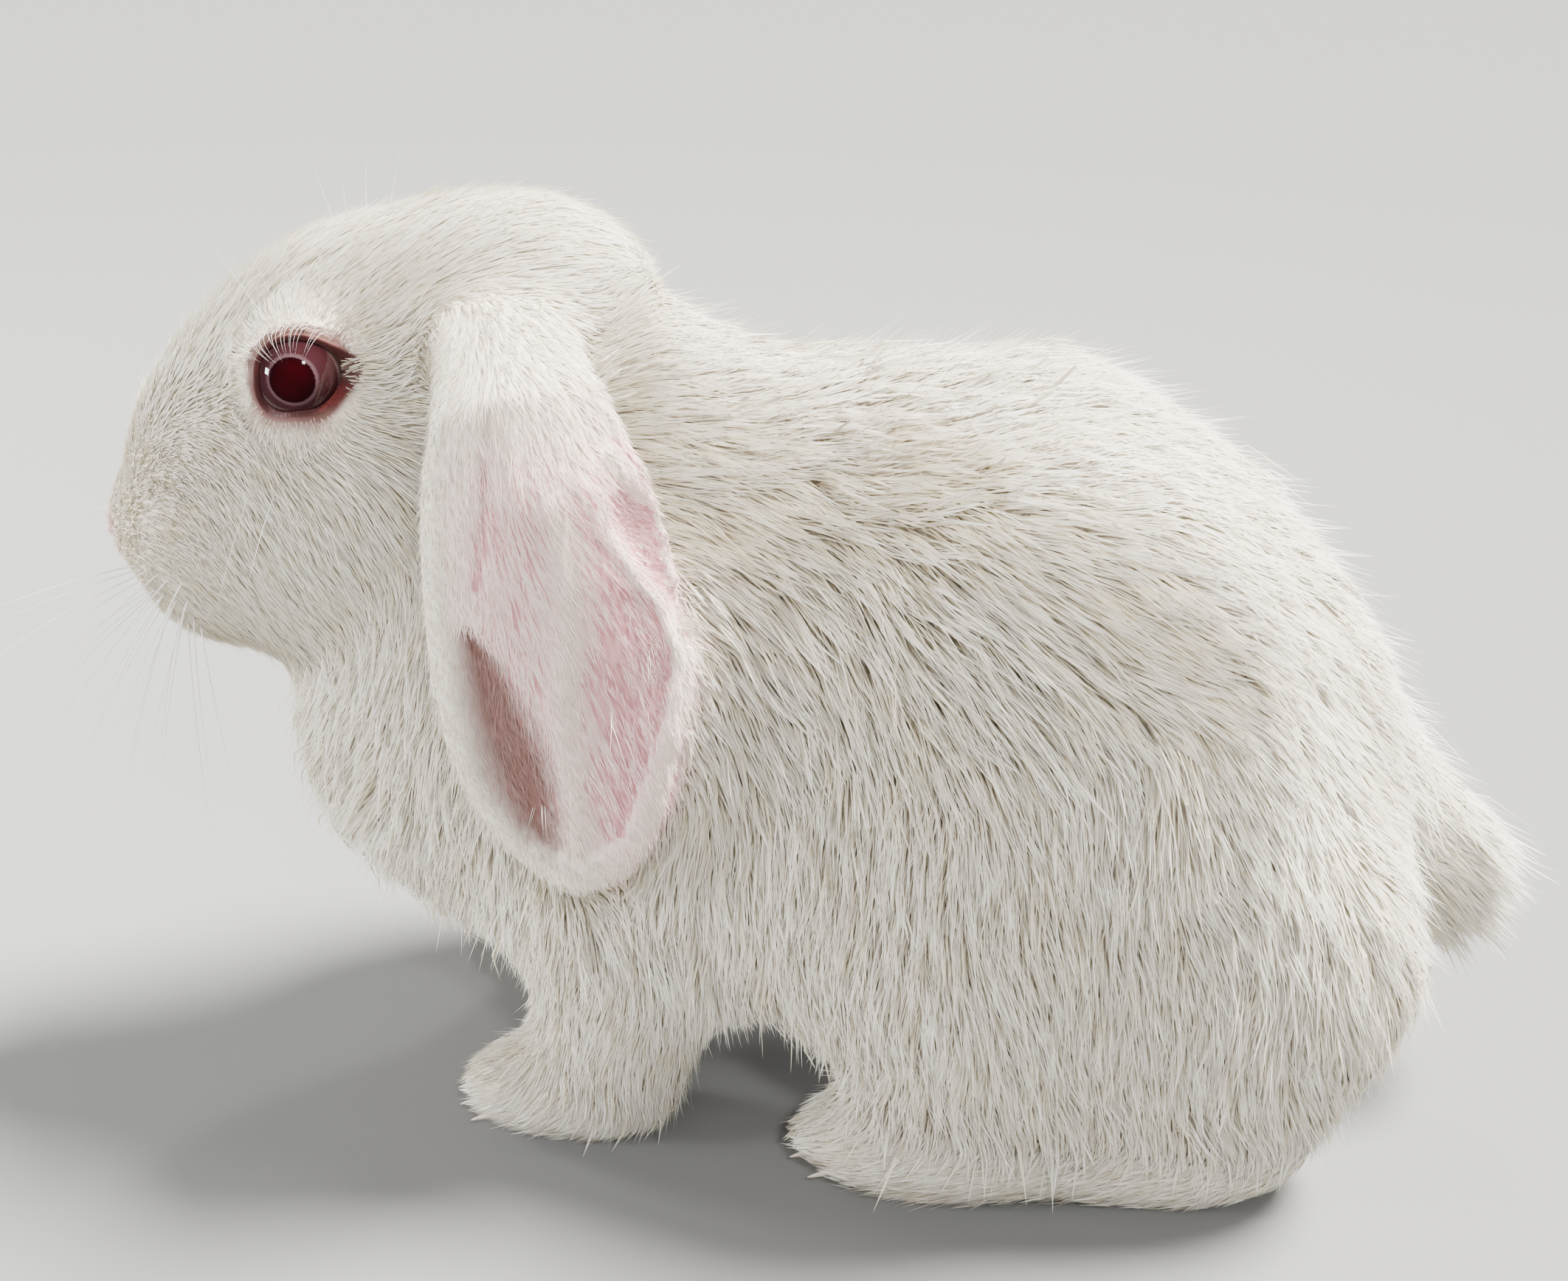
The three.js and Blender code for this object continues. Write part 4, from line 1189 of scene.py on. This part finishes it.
whisker_map = grown.uv_layers.new(name="OFBake")
whisker_map.uv.foreach_set("vector", (root_maps[whisker_of] + in_patch).ravel().astype(np.float32))
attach(whiskers, "root")

# ----------------------------------------------------------------------------------------- Claws
# A rabbit's claws are short curved horn, pale and slightly clear, mostly hidden in the hair of
# the toes. Each is the solid claw rounded off.

HORN_DARK, HORN_PALE = (0.62, 0.50, 0.42, 1), (0.80, 0.70, 0.60, 1)
claw_finish, horn_tree, shader = finish_named("horn", Roughness=0.35)
horn_place = horn_tree.nodes.new("ShaderNodeTexCoord").outputs["Object"]
grain = node(horn_tree, "ShaderNodeTexNoise", horn_place, 900.0, 3.0)
horn_tree.links.new(tinted(horn_tree, grain, HORN_DARK, HORN_PALE), shader.inputs["Base Color"])
for name in [name for name in sorted(nodes) if name.startswith("claw_")]:
    claw = place(f"horn_{name[5:]}", merged_copy(nodes[name]))
    for face in claw.data.polygons:
        face.use_smooth = True
    claw.data.materials.append(claw_finish)
    rounding = claw.modifiers.new("rounding", "SUBSURF")
    rounding.levels = rounding.render_levels = 1
    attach(claw, "root")
    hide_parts(name)

# -------------------------------------------------------------------------------- Floor and light
# A plain pale floor, a broad soft sun from above and behind the rabbit's rump, a weak light from the
# front, and two small windows for each eye that show in its wet surface.

floor_mesh = bpy.data.meshes.new("floor")
plane = bmesh.new()
bmesh.ops.create_grid(plane, x_segments=1, y_segments=1, size=6)
plane.to_mesh(floor_mesh)
plane.free()
floor = place("floor", floor_mesh)
floor_finish, _, shader = finish_named("floor", Roughness=0.8)
shader.inputs["Base Color"].default_value = (0.22, 0.22, 0.216, 1)
floor_mesh.materials.append(floor_finish)
floor.visible_glossy = False


def soft_light(name, place, aim, size, power, colour, mirrored=False):
    """A square light that looks at a place, and shows in the eyes only where it is mirrored."""
    lamp = bpy.data.lights.new(name, "AREA")
    lamp.size = size
    lamp.energy = power
    lamp.color = colour
    light = bpy.data.objects.new(name, lamp)
    bpy.context.scene.collection.objects.link(light)
    light.location = place
    light.rotation_euler = (Vector(aim) - Vector(place)).to_track_quat("-Z", "Y").to_euler()
    light.visible_glossy = mirrored


sun = bpy.data.lights.new("key", "SUN")
sun.energy = 27
sun.angle = math.radians(18)
sun.color = (1.0, 0.98, 0.93)
key = bpy.data.objects.new("key", sun)
bpy.context.scene.collection.objects.link(key)
key.rotation_euler = Vector((0.52, 0.22, 1.05)).to_track_quat("Z", "Y").to_euler()
key.visible_glossy = False
soft_light("front", (-0.7, -0.9, 0.7), (0, 0, 0.1), 0.9, 4.5, (0.96, 0.98, 1.0))
for side, sign in SIDES.items():
    eye = Vector(eye_centres[side])
    low_window = eye + Vector((-0.963, sign * 0.256, 0.079)) * 0.9
    high_window = eye + Vector((0.288, sign * 0.702, 0.652))
    soft_light(f"low_window_{side}", low_window, eye, 0.16, 9.0, (1, 1, 1), True)
    soft_light(f"high_window_{side}", high_window, eye, 0.11, 5.0, (1, 1, 1), True)
world = bpy.data.worlds.new("studio")
world.use_nodes = True
world.node_tree.nodes["Background"].inputs[0].default_value = (0.62, 0.645, 0.66, 1)
world.node_tree.nodes["Background"].inputs[1].default_value = 0.22
bpy.context.scene.world = world
